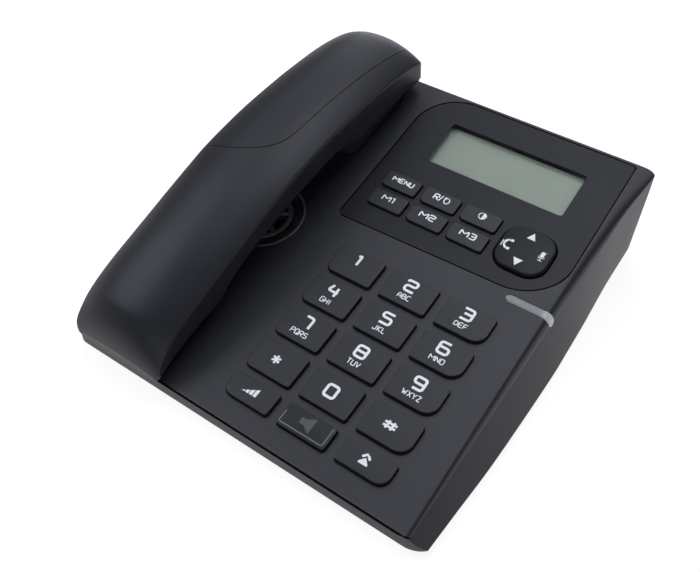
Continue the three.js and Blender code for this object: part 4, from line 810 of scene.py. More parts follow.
def cap(name, outline_at, top, rim, flange_top, place):
    """Rings from the flange up to the middle of the crowned top."""
    rings = [[place(u, v, h) for u, v in outline_at(grow)] for h, grow in
             ((flange_top - FLANGE, FLANGE_REACH), (flange_top, FLANGE_REACH), (flange_top, 0.0))]
    for turn in quarter(RIM_STEPS):
        outline = outline_at(-rim * (1 - math.cos(turn)))
        rings.append([place(u, v, top(u, v) - rim * (1 - math.sin(turn))) for u, v in outline])
    for share in CAP_SHARES:
        rings.append([place(u * share, v * share, top(u * share, v * share)) for u, v in outline_at(-rim)])
    return skin(name, rings)


for name, key in KEYS.items():
    key_cap = cap(name + "_cap", lambda grow: centred(key.width, key.depth, key.corners, grow, parts=SIDE_PARTS),
                  crown_height(key.width, key.depth, key.rise), KEY_EDGE, key.flange_top, key_plane(key.x, key.s))
    look = (SMOKED, "clear_dark_plastic") if name == "speaker_key" else (KEYTOP, "key_plastic")
    finish(soften(key_cap), look[0], name, look[1], name)

# %% [markdown]
# The navigation key is a rounded square with a deeper crown and a soft rim. Its polish makes it darker than the
# satin around it, with sharp glints on the rim.
# %% Navigation key
NAV_X, NAV_S, NAV_WIDTH, NAV_RADIUS, NAV_RISE, NAV_GAP = 54.6, 134.3, 24.4, 8.5, 1.8, 0.6
NAV_CROWN, NAV_SPREAD, NAV_RIM, NAV_STEPS = 0.55, 1.3, 1.0, 12
NAV_SKIRT, POST_RADIUS = SEAT_BOTTOM - 1.0, 3.6
nav_plane = key_plane(NAV_X, NAV_S)
nav_top = crown_height(NAV_WIDTH * NAV_SPREAD, NAV_WIDTH * NAV_SPREAD, NAV_RISE, NAV_CROWN)


def nav_outline(grow, parts=1):
    return centred(NAV_WIDTH, NAV_WIDTH, [NAV_RADIUS] * 4, grow, NAV_STEPS, parts)


nav_cap = cap("navigation_key_cap", lambda grow: nav_outline(grow, SIDE_PARTS), nav_top, NAV_RIM, NAV_SKIRT,
              nav_plane)
carve(nav_cap, [drum("post_room", POST_RADIUS, 0, 0, NAV_SKIRT - FLANGE - 1, NAV_SKIRT - FLANGE + 2, nav_plane)])
finish(soften(nav_cap), NAVIGATION, "navigation_key", "gloss_key_plastic", "navigation_key")

# %% [markdown]
# ## The panel
# The display panel is a D-shaped sheet that follows the face. It is drawn flat, cut into strips along its length
# and then bent by moving each corner on to the curve, which keeps it flush with the plate around it.
# %% Panel sheet
PANEL_LEFT, PANEL_RIGHT, PANEL_FRONT, PANEL_BACK = -29.3, 76.0, 111.6, 202.2
PANEL_ROUND, PANEL_CORNER, PANEL_BOW, PANEL_STEPS = 22.0, 3.0, 3.6, 16
DISPLAY_X, DISPLAY_S, DISPLAY_WIDTH, DISPLAY_DEPTH, DISPLAY_CORNER = 24.1, 173.4, 70.4, 26.6, 1.4
PANEL_STRIPS, PANEL_EDGE = 12, 0.22


def panel_sheet(name, grow, low, high):
    """The D between two heights, bent along the face."""
    corners = (PANEL_CORNER, PANEL_ROUND, PANEL_CORNER / 2, PANEL_ROUND)
    outline = []
    for x, s in rounded(PANEL_LEFT, PANEL_RIGHT, PANEL_FRONT, PANEL_BACK, corners, grow, PANEL_STEPS):
        across = (x - PANEL_LEFT) / (PANEL_RIGHT - PANEL_LEFT)
        back = (s - PANEL_FRONT) / (PANEL_BACK - PANEL_FRONT)
        outline.append((x, s + PANEL_BOW * across * across * (1 - back)))
    piece = prism(name, outline, low, high, lambda x, s, h: Vector((x, s, h)))
    with editing(piece) as work:
        for k in range(1, PANEL_STRIPS):
            s = PANEL_FRONT + (PANEL_BACK - PANEL_FRONT) * k / PANEL_STRIPS
            parts = work.verts[:] + work.edges[:] + work.faces[:]
            bmesh.ops.bisect_plane(work, geom=parts, plane_co=(0, s, 0), plane_no=(0, 1, 0))
        for vert in work.verts:
            vert.co = on_face(*vert.co)
    return piece


def display_cut(grow, low, high):
    outline = centred(DISPLAY_WIDTH, DISPLAY_DEPTH, [DISPLAY_CORNER] * 4, grow)
    return prism("display_cut", outline, low, high, key_plane(DISPLAY_X, DISPLAY_S))


def key_hole(key):
    outline = centred(key.width, key.depth, key.corners, KEY_GAP)
    return prism("hole", outline, SMALL_FLANGE_TOP - WALL, WALL, key_plane(key.x, key.s))


def nav_hole():
    return prism("hole", nav_outline(NAV_GAP), SMALL_FLANGE_TOP - WALL, WALL, nav_plane)


panel = panel_sheet("display_cover", 0, -PANEL_SHEET, 0)
carve(panel, [key_hole(KEYS[name]) for name in SMALL_KEYS] + [nav_hole(), display_cut(0, -WALL * 2, WALL)])
finish(soften(panel, PANEL_EDGE), PANEL, "base", "panel_plastic", "display_panel")

# %% [markdown]
# ## The cradle and the face plate
# The upper housing carries everything that shows: it is a plate that rolls down at both sides, with two wells for
# the cups of the handset, a dished grille and a slot for each key. The wells are cut square to the handset.
# %% Face plate
CUP_CORNER, WELL_GAP, SEAT_GAP, WELL_SHEET = 6.0, 0.7, 0.4, 2.0
GRILLE_X, GRILLE_S, GRILLE_RADIUS, GRILLE_DEPTH, GRILLE_PLATE = -60.5, 94.0, 21.0, 1.6, 2.0
TAB_Y, TAB_WIDTH, TAB_THICK, TAB_HEIGHT = 134.0, 12.0, 2.0, 8.0
SEAT_REACH = 1.6
Cup = namedtuple("Cup", "width front back bottom")
EAR_CUP, MOUTH_CUP = Cup(36.0, 144.0, 194.0, 2.9), Cup(34.0, 6.0, 38.0, -2.6)
grille_plane = key_plane(GRILLE_X, GRILLE_S)


def cup_outline(cup, grow):
    return rounded(-cup.width / 2, cup.width / 2, cup.front, cup.back, [CUP_CORNER] * 4, grow)


def well(cup, sheet=0.0):
    """The room for a cup, or with a sheet the block that its walls are cut from."""
    return prism("well", cup_outline(cup, WELL_GAP + sheet), cup.bottom - SEAT_GAP - sheet, DEEP, grip)


def tab_slot(grow):
    return box("slot", HANDSET_X - TAB_WIDTH / 2 - grow, HANDSET_X + TAB_WIDTH / 2 + grow, -TAB_THICK / 2 - grow,
               TAB_THICK / 2 + grow, -TAB_HEIGHT - grow, WALL, key_plane(0, TAB_Y))


def plate_outline(s):
    z, drop, left = face_z(s), crease_drop(s), LEFT_CREASE_X - LEFT_BAND_X
    right = crease_x(s) - BAND_X
    outer = [(-LEFT_BAND_X - left * math.cos(t), z - drop * (1 - math.sin(t))) for t in quarter(ROLL_STEPS)]
    outer += [(BAND_X + right * math.sin(t), z - drop * (1 - math.cos(t))) for t in quarter(ROLL_STEPS)]
    low = z - drop + SEAM
    outer[0], outer[-1] = (outer[0][0], low), (outer[-1][0], low)
    return outer + [(crease_x(s) - WALL, low), (BAND_X - WALL, z - WALL), (-LEFT_BAND_X + WALL, z - WALL),
                    (-LEFT_CREASE_X + WALL, low)]


def room_outline(s):
    """The room below the face, which trims the walls of the wells."""
    left, right, top = -LEFT_BAND_X + GAP, BAND_X - WALL, face_z(s) - GAP
    return [(left, -DEEP), (right, -DEEP), (right, top), (left, top)]


plate = carve(upright_skin("face_plate", plate_outline), [base_column(0)], "INTERSECT")
thick = [well(EAR_CUP, WELL_SHEET), well(MOUTH_CUP, WELL_SHEET),
         drum("dish", GRILLE_RADIUS + WALL, 0, 0, -GRILLE_DEPTH - GRILLE_PLATE, WALL, grille_plane, 48),
         tab_slot(WALL), panel_sheet("seat", SEAT_REACH, SEAT_BOTTOM, -PANEL_SHEET)]
carve(plate, [carve(part, [upright_skin("room", room_outline), base_column(GAP)], "INTERSECT") for part in thick],
      "UNION")
print("plate before its cuts:", len(plate.data.polygons), "faces")

# %% [markdown]
# The lamp's lens is a thin bar that lies in the face and bends over the roll. Its centre line gives each cross
# section its place and its turn. The same sections, a little larger, cut its slot into the plate.
# %% Lens
LENS_X, LENS_S, LENS_WIDTH, LENS_DEPTH = 58.6, 109.7, 4.0, 1.6
LENS_STEPS, LENS_ARC = 14, 8
LENS_LIFT, LENS_PROUD, LENS_ROUND, LENS_FOOT = 0.2, 0.3, 0.35, 0.6
LEFT_BLUNT, RIGHT_BLUNT = 0.15, 0.5


def lens_path():
    """Centre line of the lens, from its left end over the roll: x, drop, and the turn of the surface."""
    flat = [(LENS_X + (BAND_X - LENS_X) * k / LENS_STEPS, 0.0, 0.0) for k in range(LENS_STEPS)]
    width, drop = crease_x(LENS_S) - BAND_X, crease_drop(LENS_S) - LENS_LIFT
    return flat + [(BAND_X + width * math.sin(turn), drop * (1 - math.cos(turn)),
                    math.atan2(drop * math.sin(turn), width * math.cos(turn))) for turn in quarter(LENS_STEPS)]


def lens_bar(name, grow, low, high, rounding):
    """The bar's left end is round and its right end tapers."""
    path, half = lens_path(), LENS_WIDTH / 2 + grow
    gone = [0.0]
    for (x0, d0, _), (x1, d1, _) in zip(path, path[1:]):
        gone.append(gone[-1] + math.hypot(x1 - x0, d1 - d0))
    rings = []
    for (x, fall, turn), done in zip(path, gone):
        start = min(1.0, (done + grow + LEFT_BLUNT) / half)
        end = min(1.0, (gone[-1] - done + grow + RIGHT_BLUNT) / half)
        width = half * math.sqrt(1 - (1 - start) ** 2) * math.sqrt(1 - (1 - end) ** 2)
        turns = [math.pi * k / LENS_ARC for k in range(LENS_ARC + 1)]
        ring = [(width * math.cos(t), high - rounding + rounding * math.sin(t)) for t in turns]
        rings.append([on_face(x + up * math.sin(turn), LENS_S + across, -fall + up * math.cos(turn))
                      for across, up in ring + [(-width, low), (width, low)]])
    return skin(name, rings)


lens = soften(lens_bar("ring_lens_bar", 0, -LENS_DEPTH * LENS_FOOT, LENS_PROUD, LENS_ROUND))
finish(lens, LENS, "base", "lens_plastic", "ring_lamp_lens")

# %% [markdown]
# The cuts are made in one pass. A Manifold solver is exact about what is inside and outside, so the key slots that
# run through both the plate and the panel's seat stay clean. One bevel rounds every new edge.
# %% Plate with its openings
GRILLE_RINGS = [(0.0, 1, 2.4), (12.2, 6, 4.3)]
PLUNGER_Y, PLUNGER_WIDTH, PLUNGER_DEPTH = 150.5, 11.0, 6.0
WINDOW_SHEET, WINDOW_MARGIN, LEDGE_MARGIN = 1.2, 2.0, 0.8
PANEL_GAP, PLATE_EDGE = 0.65, 0.25
plunger = [(u, v + PLUNGER_Y) for u, v in centred(PLUNGER_WIDTH, PLUNGER_DEPTH, [TIGHT] * 4, GAP)]
cuts = [
    well(EAR_CUP), well(MOUTH_CUP), drum("dish", GRILLE_RADIUS, 0, 0, -GRILLE_DEPTH, WALL, grille_plane, 64),
    tab_slot(GAP), prism("plunger", plunger, -DEEP / 4, DEEP / 2, grip),
    panel_sheet("recess", PANEL_GAP, -PANEL_SHEET - GAP, WALL),
    display_cut(WINDOW_MARGIN + GAP, -PANEL_SHEET - GAP * 2 - WINDOW_SHEET, WALL),
    display_cut(LEDGE_MARGIN, SEAT_BOTTOM - WALL, WALL),
    lens_bar("lens_slot", GAP, -LENS_DEPTH, 1.0, 0.1), nav_hole(), groove(),
]
cuts += [key_hole(key) for key in KEYS.values()]
cuts += [drum("hole", radius, x, y, -WALL * 2, WALL, grille_plane, 16)
         for ring, count, radius in GRILLE_RINGS for x, y in circle(ring, steps=count)]
carve(plate, cuts)
finish(soften(plate, PLATE_EDGE), HOUSING, "base", "housing_plastic", "upper_housing")

# %% [markdown]
# The dish of the grille has a raised ring round its edge and a web between its openings, both half round in section.
# Each is a bar along a line: a ribbon gives its two edges, and an arch joins them. Both are painted much paler than
# the housing, as painted light in the dish's shade.
# %% Grille web
WEB_HIGH, WEB_SINK, WEB_STEPS = 0.9, 0.1, 6
WEB_RINGS = [(20.0, 1.9, GRILLE_DEPTH + 0.2), (13.4, 2.6, WEB_HIGH), (6.2, 2.4, WEB_HIGH)]
SPOKES, SPOKE_IN, SPOKE_OUT, SPOKE_WIDE, SPOKE_PARTS = 6, 6.2, 13.4, 2.0, 6


def ribbon(line, width, closed):
    """Left and right edges of a stroke."""
    sides, count = [], len(line)
    for i, here in enumerate(line):
        way = Vector((0, 0))
        if closed or i:
            way += (here - line[i - 1]).normalized()
        if closed or i + 1 < count:
            way += (line[(i + 1) % count] - here).normalized()
        way.normalize()
        side = Vector((-way.y, way.x)) * width / 2
        sides.append((here + side, here - side))
    return sides


def ridge(points, faces, line, wide, high, closed):
    """Adds a half round bar along a line on the floor of the dish."""
    faces += bar_faces(len(points), WEB_STEPS + 1, len(line), closed)
    for left, right in ribbon(line, wide, closed):
        for k in range(WEB_STEPS + 1):
            turn = math.pi * k / WEB_STEPS
            place = left.lerp(right, (1 - math.cos(turn)) / 2)
            rise = (high + WEB_SINK) * math.sin(turn) - WEB_SINK
            points.append(grille_plane(place.x, place.y, rise - GRILLE_DEPTH))


web_points, web_faces = [], []
for radius, wide, high in WEB_RINGS:
    ridge(web_points, web_faces, [Vector(p) for p in circle(radius, steps=64)], wide, high, True)
for k in range(SPOKES):
    turn = (k + 0.5) * 2 * math.pi / SPOKES
    way = Vector((math.cos(turn), math.sin(turn)))
    spoke = [way * (SPOKE_IN + (SPOKE_OUT - SPOKE_IN) * i / SPOKE_PARTS) for i in range(SPOKE_PARTS + 1)]
    ridge(web_points, web_faces, spoke, SPOKE_WIDE, WEB_HIGH, False)
web = outward(new_piece("grille_web", web_points, web_faces))
web.data.shade_smooth()
# Painted light: the ring and web are paler than the housing plastic that they belong to.
finish(web, LIT_GRILLE_PLASTIC, "base", "housing_plastic")

# %% [markdown]
# ## The handset
# The handset's back is one long crown. Each cross section is a low arch between two rounded edges, and under each
# edge a narrow band stands on the parting line. The tables give the middle of the arch, the edge, the parting line
# and the underside as shares of the greatest height, along the length from the mouth end to the ear end.
# %% Handset lines
HANDSET_WIDTH, HANDSET_FRONT, HANDSET_LENGTH, HANDSET_CROWN = 47.2, -2.2, 204.6, 43.3
ARCH_POWER, ARCH_STEPS, EDGE_RADIUS, EDGE_STEPS = 2.2, 28, 1.7, 6
crown_share = curve_through([
    (0, 0.16), (0.006, 0.27), (0.017, 0.38), (0.033, 0.475), (0.06, 0.575), (0.135, 0.68), (0.218, 0.77),
    (0.304, 0.845), (0.4, 0.92), (0.505, 0.975), (0.62, 1), (0.76, 0.984), (0.888, 0.93), (0.945, 0.885),
    (0.978, 0.82), (0.994, 0.73), (1, 0.63)])
edge_share = curve_through([
    (0, 0.1), (0.006, 0.18), (0.017, 0.25), (0.033, 0.31), (0.06, 0.39), (0.1, 0.465), (0.15, 0.53), (0.2, 0.58),
    (0.25, 0.63), (0.317, 0.7), (0.387, 0.767), (0.447, 0.82), (0.5, 0.845), (0.6, 0.867), (0.72, 0.85),
    (0.8, 0.82), (0.85, 0.795), (0.9, 0.755), (0.94, 0.71), (0.98, 0.65), (1, 0.58)])
parting_share = curve_through([
    (0, 0.07), (0.02, 0.14), (0.06, 0.27), (0.12, 0.4), (0.18, 0.48), (0.25, 0.555), (0.36, 0.65), (0.49, 0.735),
    (0.6, 0.766), (0.715, 0.76), (0.839, 0.658), (0.905, 0.585), (0.965, 0.447), (1, 0.4)])
under_share = curve_through([
    (0, 0.03), (0.205, 0.03), (0.245, 0.16), (0.3, 0.27), (0.4, 0.36), (0.5, 0.4), (0.62, 0.41),
    (0.675, 0.36), (0.71, 0.24), (0.73, 0.225), (1, 0.34)])
print("handset height at mid length:", round(HANDSET_CROWN * crown_share(0.5), 1))

# %% [markdown]
# Cross sections stand close together at both ends, where the shape changes fastest. The plan's corners are round, so
# the sections are narrower there.
# %% Handset sections
HANDSET_WALL, NOSE_CORNER, EAR_CORNER, LEAST_CORNER = 2.0, 2.6, 6.0, 0.4
END_PLACES = [0.0, 0.15, 0.5, 1.0, 1.8, 2.8, 4.0, 5.5, 7.5, 10.0]
END_REACH, MIDDLE_PARTS = 12, 60


def handset_skin(name, ring_at, inset):
    first, last = HANDSET_FRONT + inset, HANDSET_FRONT + HANDSET_LENGTH - inset
    reach = last - first - END_REACH * 2
    middle = [first + END_REACH + reach * k / MIDDLE_PARTS for k in range(MIDDLE_PARTS + 1)]
    stations = [first + e for e in END_PLACES] + middle + [last - e for e in reversed(END_PLACES)]
    return skin(name, [[grip(x, y, z) for x, z in ring_at(y, share_of(y))] for y in stations])


def share_of(y):
    return (y - HANDSET_FRONT) / HANDSET_LENGTH


def half_width(y, inset):
    """Half the width at y: the plan's corners are round."""
    half = HANDSET_WIDTH / 2 - inset
    for corner, gone in ((NOSE_CORNER - inset, y - HANDSET_FRONT - inset),
                         (EAR_CORNER - inset, HANDSET_FRONT + HANDSET_LENGTH - inset - y)):
        corner = max(corner, LEAST_CORNER)
        if gone < corner:
            half -= corner - math.sqrt(max(corner ** 2 - (corner - gone) ** 2, 0))
    return half


print("half width at mid length:", half_width(HANDSET_LENGTH / 2, 0))

# %% [markdown]
# A crown section runs up one rounded edge, over the arch and down the other edge. The underside is drawn with a
# superellipse, which is a circle with fuller corners. Drawn in by a wall, either shape gives its own hollow.
# %% Crown and underside
UNDER_POWER, UNDER_STEPS, UNDER_INSET = 3.6, 20, 0.6


def crown_body(name, inset, foot):
    def ring_at(y, share):
        half, low = half_width(y, inset), HANDSET_CROWN * parting_share(share) + foot
        edge = max(HANDSET_CROWN * edge_share(share) - inset, low + GAP)
        rise = max(HANDSET_CROWN * crown_share(share) - inset - edge, GAP)
        corner = min(EDGE_RADIUS, (edge - low) / 2)
        lean = math.pi / 2 - math.atan2(rise * ARCH_POWER, half)
        turns = [lean * k / EDGE_STEPS for k in range(EDGE_STEPS + 1)]
        side = [(half - corner + corner * math.cos(t), edge - corner * math.sin(lean) + corner * math.sin(t))
                for t in turns]
        places = [1 - 2 * k / ARCH_STEPS for k in range(1, ARCH_STEPS)]
        arch = [(across * side[-1][0], edge + rise * (1 - abs(across) ** ARCH_POWER)) for across in places]
        return [(half, low)] + side + arch + [(-x, z) for x, z in reversed(side)] + [(-half, low)]
    return handset_skin(name, ring_at, inset)


def under_body(name, inset, head):
    def ring_at(y, share):
        half = half_width(y, inset) - UNDER_INSET
        high = HANDSET_CROWN * parting_share(share) + head
        low = min(HANDSET_CROWN * under_share(share) + inset, high - GAP)
        ring = []
        for k in range(UNDER_STEPS + 1):
            cos, sin = math.cos(math.pi * k / UNDER_STEPS), math.sin(math.pi * k / UNDER_STEPS)
            ring.append((half * math.copysign(abs(cos) ** (2 / UNDER_POWER), cos),
                         high - (high - low) * max(sin, 0) ** (2 / UNDER_POWER)))
        return ring
    return handset_skin(name, ring_at, inset)


print("points of an underside section:", UNDER_STEPS + 1)

# %% [markdown]
# The back is two mouldings. A thin inlay covers the ear end, and its seam sweeps across the back and then runs
# along the right side. The seam is drawn as a curve through a few places taken from the photograph.
# %% Handset back and inlay
INLAY, HANDSET_EDGE = 1.2, 0.22
SEAM_SHARES = [(-0.6, 0.452), (-0.34, 0.453), (-0.14, 0.46), (0.0, 0.475), (0.12, 0.496), (0.19, 0.52),
               (0.228, 0.55), (0.246, 0.6), (0.254, 0.683), (0.278, 0.804), (0.314, 0.946), (0.34, 1.05)]
SEAM_STEPS, INLAY_END = 6, 1.08


def seam_line(grow):
    """A Catmull-Rom curve through the seam's places, moved forwards and right by grow."""
    places = [Vector((a * HANDSET_WIDTH + grow, HANDSET_FRONT + b * HANDSET_LENGTH - grow)) for a, b in SEAM_SHARES]
    line = [places[0]]
    for i in range(len(places) - 1):
        p0, p1, p2 = places[max(i - 1, 0)], places[i], places[i + 1]
        p3 = places[min(i + 2, len(places) - 1)]
        for k in range(1, SEAM_STEPS + 1):
            t = k / SEAM_STEPS
            line.append(0.5 * (2 * p1 + (p2 - p0) * t + (2 * p0 - 5 * p1 + 4 * p2 - p3) * t ** 2
                               + (3 * p1 - p0 - 3 * p2 + p3) * t ** 3))
    return [tuple(p) for p in line]


def inlay_prism(grow):
    line = seam_line(grow)
    back = HANDSET_FRONT + HANDSET_LENGTH * INLAY_END
    outline = [(-HANDSET_WIDTH, line[0][1])] + line + [(line[-1][0], back), (-HANDSET_WIDTH, back)]
    return prism("inlay_prism", outline, 0, DEEP * 2, grip)


crown = crown_body("handset_back", 0, 0)
inlay = crown_body("handset_inlay", 0, 0)
recess = carve(inlay_prism(GAP), [crown_body("core", INLAY + GAP, -HANDSET_CROWN / 2)])
carve(crown, [crown_body("hollow", HANDSET_WALL + INLAY, -HANDSET_WALL), recess])
carve(inlay, [crown_body("core", INLAY, -HANDSET_CROWN / 2)])
carve(inlay, [inlay_prism(0)], "INTERSECT")
finish(soften(crown, HANDSET_EDGE), HANDSET, "handset", "housing_plastic", "handset_top_shell")
finish(soften(inlay, HANDSET_EDGE), HANDSET, "handset", "housing_plastic", "handset_ear_inlay")

# %% [markdown]
# The lower shell carries the cups that lie in the cradle. Each cup is a rounded block with a soft bottom edge,
# joined to the underside. The ear cup has a ring of sound holes, and the mouth cup one small hole.
# %% Handset underside
SCREW_YS, SCREW_HOLE, SCREW_BELOW, SCREW_ABOVE = (50.0, 134.0), 2.7, 8, 2.4
EAR_HOLE, EAR_HOLE_RING, EAR_HOLES = 1.1, 6.0, 6
EAR_DISH, EAR_DISH_DEPTH, MOUTH_HOLE_Y = 14.0, 0.6, 30.4
EAR_EDGE, MOUTH_EDGE, HOLLOW_EDGE, UNDER_EDGE = 1.6, 1.2, 0.5, 0.3
JACK_Y, JACK_WIDTH, JACK_HEIGHT, JACK_LOW, JACK_DEPTH = 19.0, 7.8, 6.6, 5.1, 8
CUP_STEPS = 4


def cup_block(cup, grow, high, edge):
    """A block with a round bottom edge. A cup's hollow is drawn in by the wall, so its bottom is higher as well."""
    levels = [(cup.bottom - grow + edge * (1 - math.cos(turn)), cup_outline(cup, grow - edge * (1 - math.sin(turn))))
              for turn in quarter(CUP_STEPS)]
    return stack("cup", levels + [(high, cup_outline(cup, grow))], grip)


def under_at(y):
    return HANDSET_CROWN * under_share(share_of(y))


def sound_hole(cup, x, y):
    return drum("hole", EAR_HOLE, x, y, cup.bottom - 1, cup.bottom + HANDSET_WALL + 1, grip, 16)


shell = under_body("handset_underside", 0, -GAP)
carve(shell, [cup_block(EAR_CUP, 0, under_at(EAR_CUP.front) + HANDSET_WALL * 2, EAR_EDGE),
              cup_block(MOUTH_CUP, 0, under_at(0) + HANDSET_WALL, MOUTH_EDGE)], "UNION")
ear_y = (EAR_CUP.front + EAR_CUP.back) / 2
carve(shell, [under_body("hollow", HANDSET_WALL, HANDSET_WALL),
              cup_block(EAR_CUP, -HANDSET_WALL, HANDSET_CROWN / 2, HOLLOW_EDGE),
              cup_block(MOUTH_CUP, -HANDSET_WALL, HANDSET_CROWN / 4, HOLLOW_EDGE),
              drum("dish", EAR_DISH, 0, ear_y, EAR_CUP.bottom - 1, EAR_CUP.bottom + EAR_DISH_DEPTH, grip, 48),
              sound_hole(MOUTH_CUP, 0, MOUTH_HOLE_Y),
              box("jack_hole", -HANDSET_WIDTH, -HANDSET_WIDTH / 2 + JACK_DEPTH, JACK_Y - JACK_WIDTH / 2,
                  JACK_Y + JACK_WIDTH / 2, JACK_LOW, JACK_LOW + JACK_HEIGHT, grip)]
      + [sound_hole(EAR_CUP, x, y) for x, y in circle(EAR_HOLE_RING, 0, ear_y, EAR_HOLES)])
carve(shell, [drum("hole", SCREW_HOLE, 0, y, under_at(y) - SCREW_BELOW, under_at(y) + SCREW_ABOVE, grip)
              for y in SCREW_YS])
finish(soften(shell, UNDER_EDGE), HANDSET, "handset", "housing_plastic", "handset_bottom_shell")

# %% [markdown]
# ## Printing
# The legends are printed in white. Each sign is a few strokes with rounded bends on a grid four units wide and six
# high, in the squarish style of the real keys. A stroke becomes a thin ribbon that lies on the crown of its key.
# %% Stroke tables
BOX = [(0, 0), (0, 6), (4, 6), (4, 0)]
STROKES = {
    "0": [BOX + [(0, 0)]], "1": [[(0, 5.1), (1.2, 6), (1.2, 0)]],
    "2": [[(0, 4.9), (0, 6), (4, 6), (4, 3.1), (0, 3.1), (0, 0), (4, 0)]],
    "3": [[(0, 6), (4, 6), (4, 0), (0, 0)], [(0.7, 3.1), (4, 3.1)]],
    "4": [[(1.2, 6), (0, 2.4), (4.2, 2.4)], [(3.4, 5.2), (3.4, 0)]],
    "5": [[(4, 6), (0, 6), (0, 3.3), (4, 3.3), (4, 0), (0, 0)]],
    "6": [[(3.6, 6), (0, 6), (0, 0), (4, 0), (4, 3.3), (0, 3.3)]],
    "7": [[(0.5, 6), (3.7, 6), (3.7, 0)]],
    "8": [BOX + [(0, 0)], [(0, 3.1), (4, 3.1)]],
    "9": [[(0.5, 0), (4, 0), (4, 6), (0, 6), (0, 2.8), (4, 2.8)]],
    "star": [[(2, 5.2), (2, 0.8)], [(0.5, 4.1), (3.5, 1.9)], [(0.5, 1.9), (3.5, 4.1)]],
    "hash": [[(1.3, 5), (0.9, 1)], [(3.2, 5), (2.8, 1)], [(-0.2, 3.85), (4.4, 3.85)],
             [(-0.3, 2.15), (4.3, 2.15)]],
    "A": [[(0, 0), (0, 4.4), (2, 6), (4, 4.4), (4, 0)], [(0, 2.2), (4, 2.2)]],
    "B": [[(0, 3.2), (3.4, 3.2), (3.4, 6), (0, 6), (0, 0), (4, 0), (4, 3.2), (3, 3.2)]],
    "C": [[(4, 6), (0, 6), (0, 0), (4, 0)]], "D": [[(0, 0), (0, 6), (4, 5), (4, 1), (0, 0)]],
    "E": [[(4, 6), (0, 6), (0, 0), (4, 0)], [(0, 3), (3.4, 3)]],
    "F": [[(4, 6), (0, 6), (0, 0)], [(0, 3), (3.4, 3)]],
    "G": [[(4, 6), (0, 6), (0, 0), (4, 0), (4, 3), (2.4, 3)]],
    "H": [[(0, 0), (0, 6)], [(4, 0), (4, 6)], [(0, 3), (4, 3)]],
    "I": [[(1, 0), (1, 6)]], "J": [[(3.4, 6), (3.4, 0), (0, 0), (0, 1.4)]],
    "K": [[(0, 0), (0, 6)], [(3.8, 6), (0, 3), (3.8, 0)]], "L": [[(0, 6), (0, 0), (3.6, 0)]],
    "M": [[(0, 0), (0, 6), (3, 2.2), (6, 6), (6, 0)]], "N": [[(0, 0), (0, 6), (4, 0), (4, 6)]],
    "O": [BOX + [(0, 0)]], "P": [[(0, 0), (0, 6), (4, 6), (4, 2.8), (0, 2.8)]],
    "Q": [BOX + [(0, 0)], [(2.6, 1.6), (4.4, -0.6)]],
    "R": [[(0, 0), (0, 6), (4, 6), (4, 2.8), (0, 2.8)], [(1.8, 2.8), (4, 0)]],
    "S": [[(4, 6), (0, 6), (0, 3.1), (4, 3.1), (4, 0), (0, 0)]], "T": [[(0, 6), (4, 6)], [(2, 6), (2, 0)]],
    "U": [[(0, 6), (0, 0), (4, 0), (4, 6)]], "V": [[(0, 6), (2, 0), (4, 6)]],
    "W": [[(0, 6), (1.3, 0), (2.5, 4.6), (3.7, 0), (5, 6)]], "X": [[(0, 6), (4, 0)], [(0, 0), (4, 6)]],
    "Y": [[(0, 6), (2, 3), (4, 6)], [(2, 3), (2, 0)]], "Z": [[(0, 6), (4, 6), (0, 0), (4, 0)]],
}
SIGN_WIDTHS = {"1": 1.3, "M": 6.0, "W": 5.0, "I": 2.0}
print("signs:", len(STROKES))

# %% [markdown]
# The corners of a stroke are bent, and what is straight is cut into short parts, so that it can follow a crown. A
# line that ends where it starts is closed.
# %% Bent strokes
BEND_STEPS, STROKE_PART, CLOSED = 4, 1.2, 1e-6


def bend_corners(line, radius):
    points = [Vector(p) for p in line]
    closed = (points[0] - points[-1]).length < CLOSED
    if closed:
        points = points[:-1]
    count = len(points)
    result = [] if closed else [points[0]]
    for i in range(0 if closed else 1, count if closed else count - 1):
        here, before, after = points[i], points[i - 1], points[(i + 1) % count]
        cut = min(radius, (before - here).length / 2, (after - here).length / 2)
        start = here + (before - here).normalized() * cut
        end = here + (after - here).normalized() * cut
        for k in range(BEND_STEPS + 1):
            t = k / BEND_STEPS
            result.append((1 - t) ** 2 * start + 2 * t * (1 - t) * here + t * t * end)
    if not closed:
        result.append(points[-1])
    fine = []
    for here, ahead in zip(result, result[1:] + result[:1] if closed else result[1:]):
        parts = max(1, math.ceil((ahead - here).length / STROKE_PART))
        fine += [here.lerp(ahead, k / parts) for k in range(parts)]
    return (fine if closed else fine + [result[-1]]), closed


print("parts of a bent stroke:", len(bend_corners(STROKES["7"][0], 1.0)[0]))

# %% [markdown]
# A stroke is a thin bar, and a filled sign is a thin plate of small triangles. Both stand a little proud of the
# crown and reach a little into it, so no gap shows under them.
# %% Ribbons and plates
PRINT_SINK, PRINT_PROUD, PLATE_CUTS = 0.12, 0.03, 3


def lay_ribbon(points, faces, line, width, radius, height, place):
    """Adds one stroke as a thin bar that follows a surface."""
    bent, closed = bend_corners(line, radius)
    faces += bar_faces(len(points), 4, len(bent), closed)
    for left, right in ribbon(bent, width, closed):
        for p, level in ((left, PRINT_PROUD), (right, PRINT_PROUD), (right, -PRINT_SINK), (left, -PRINT_SINK)):
            points.append(place(p.x, p.y, height(p.x, p.y) + level))


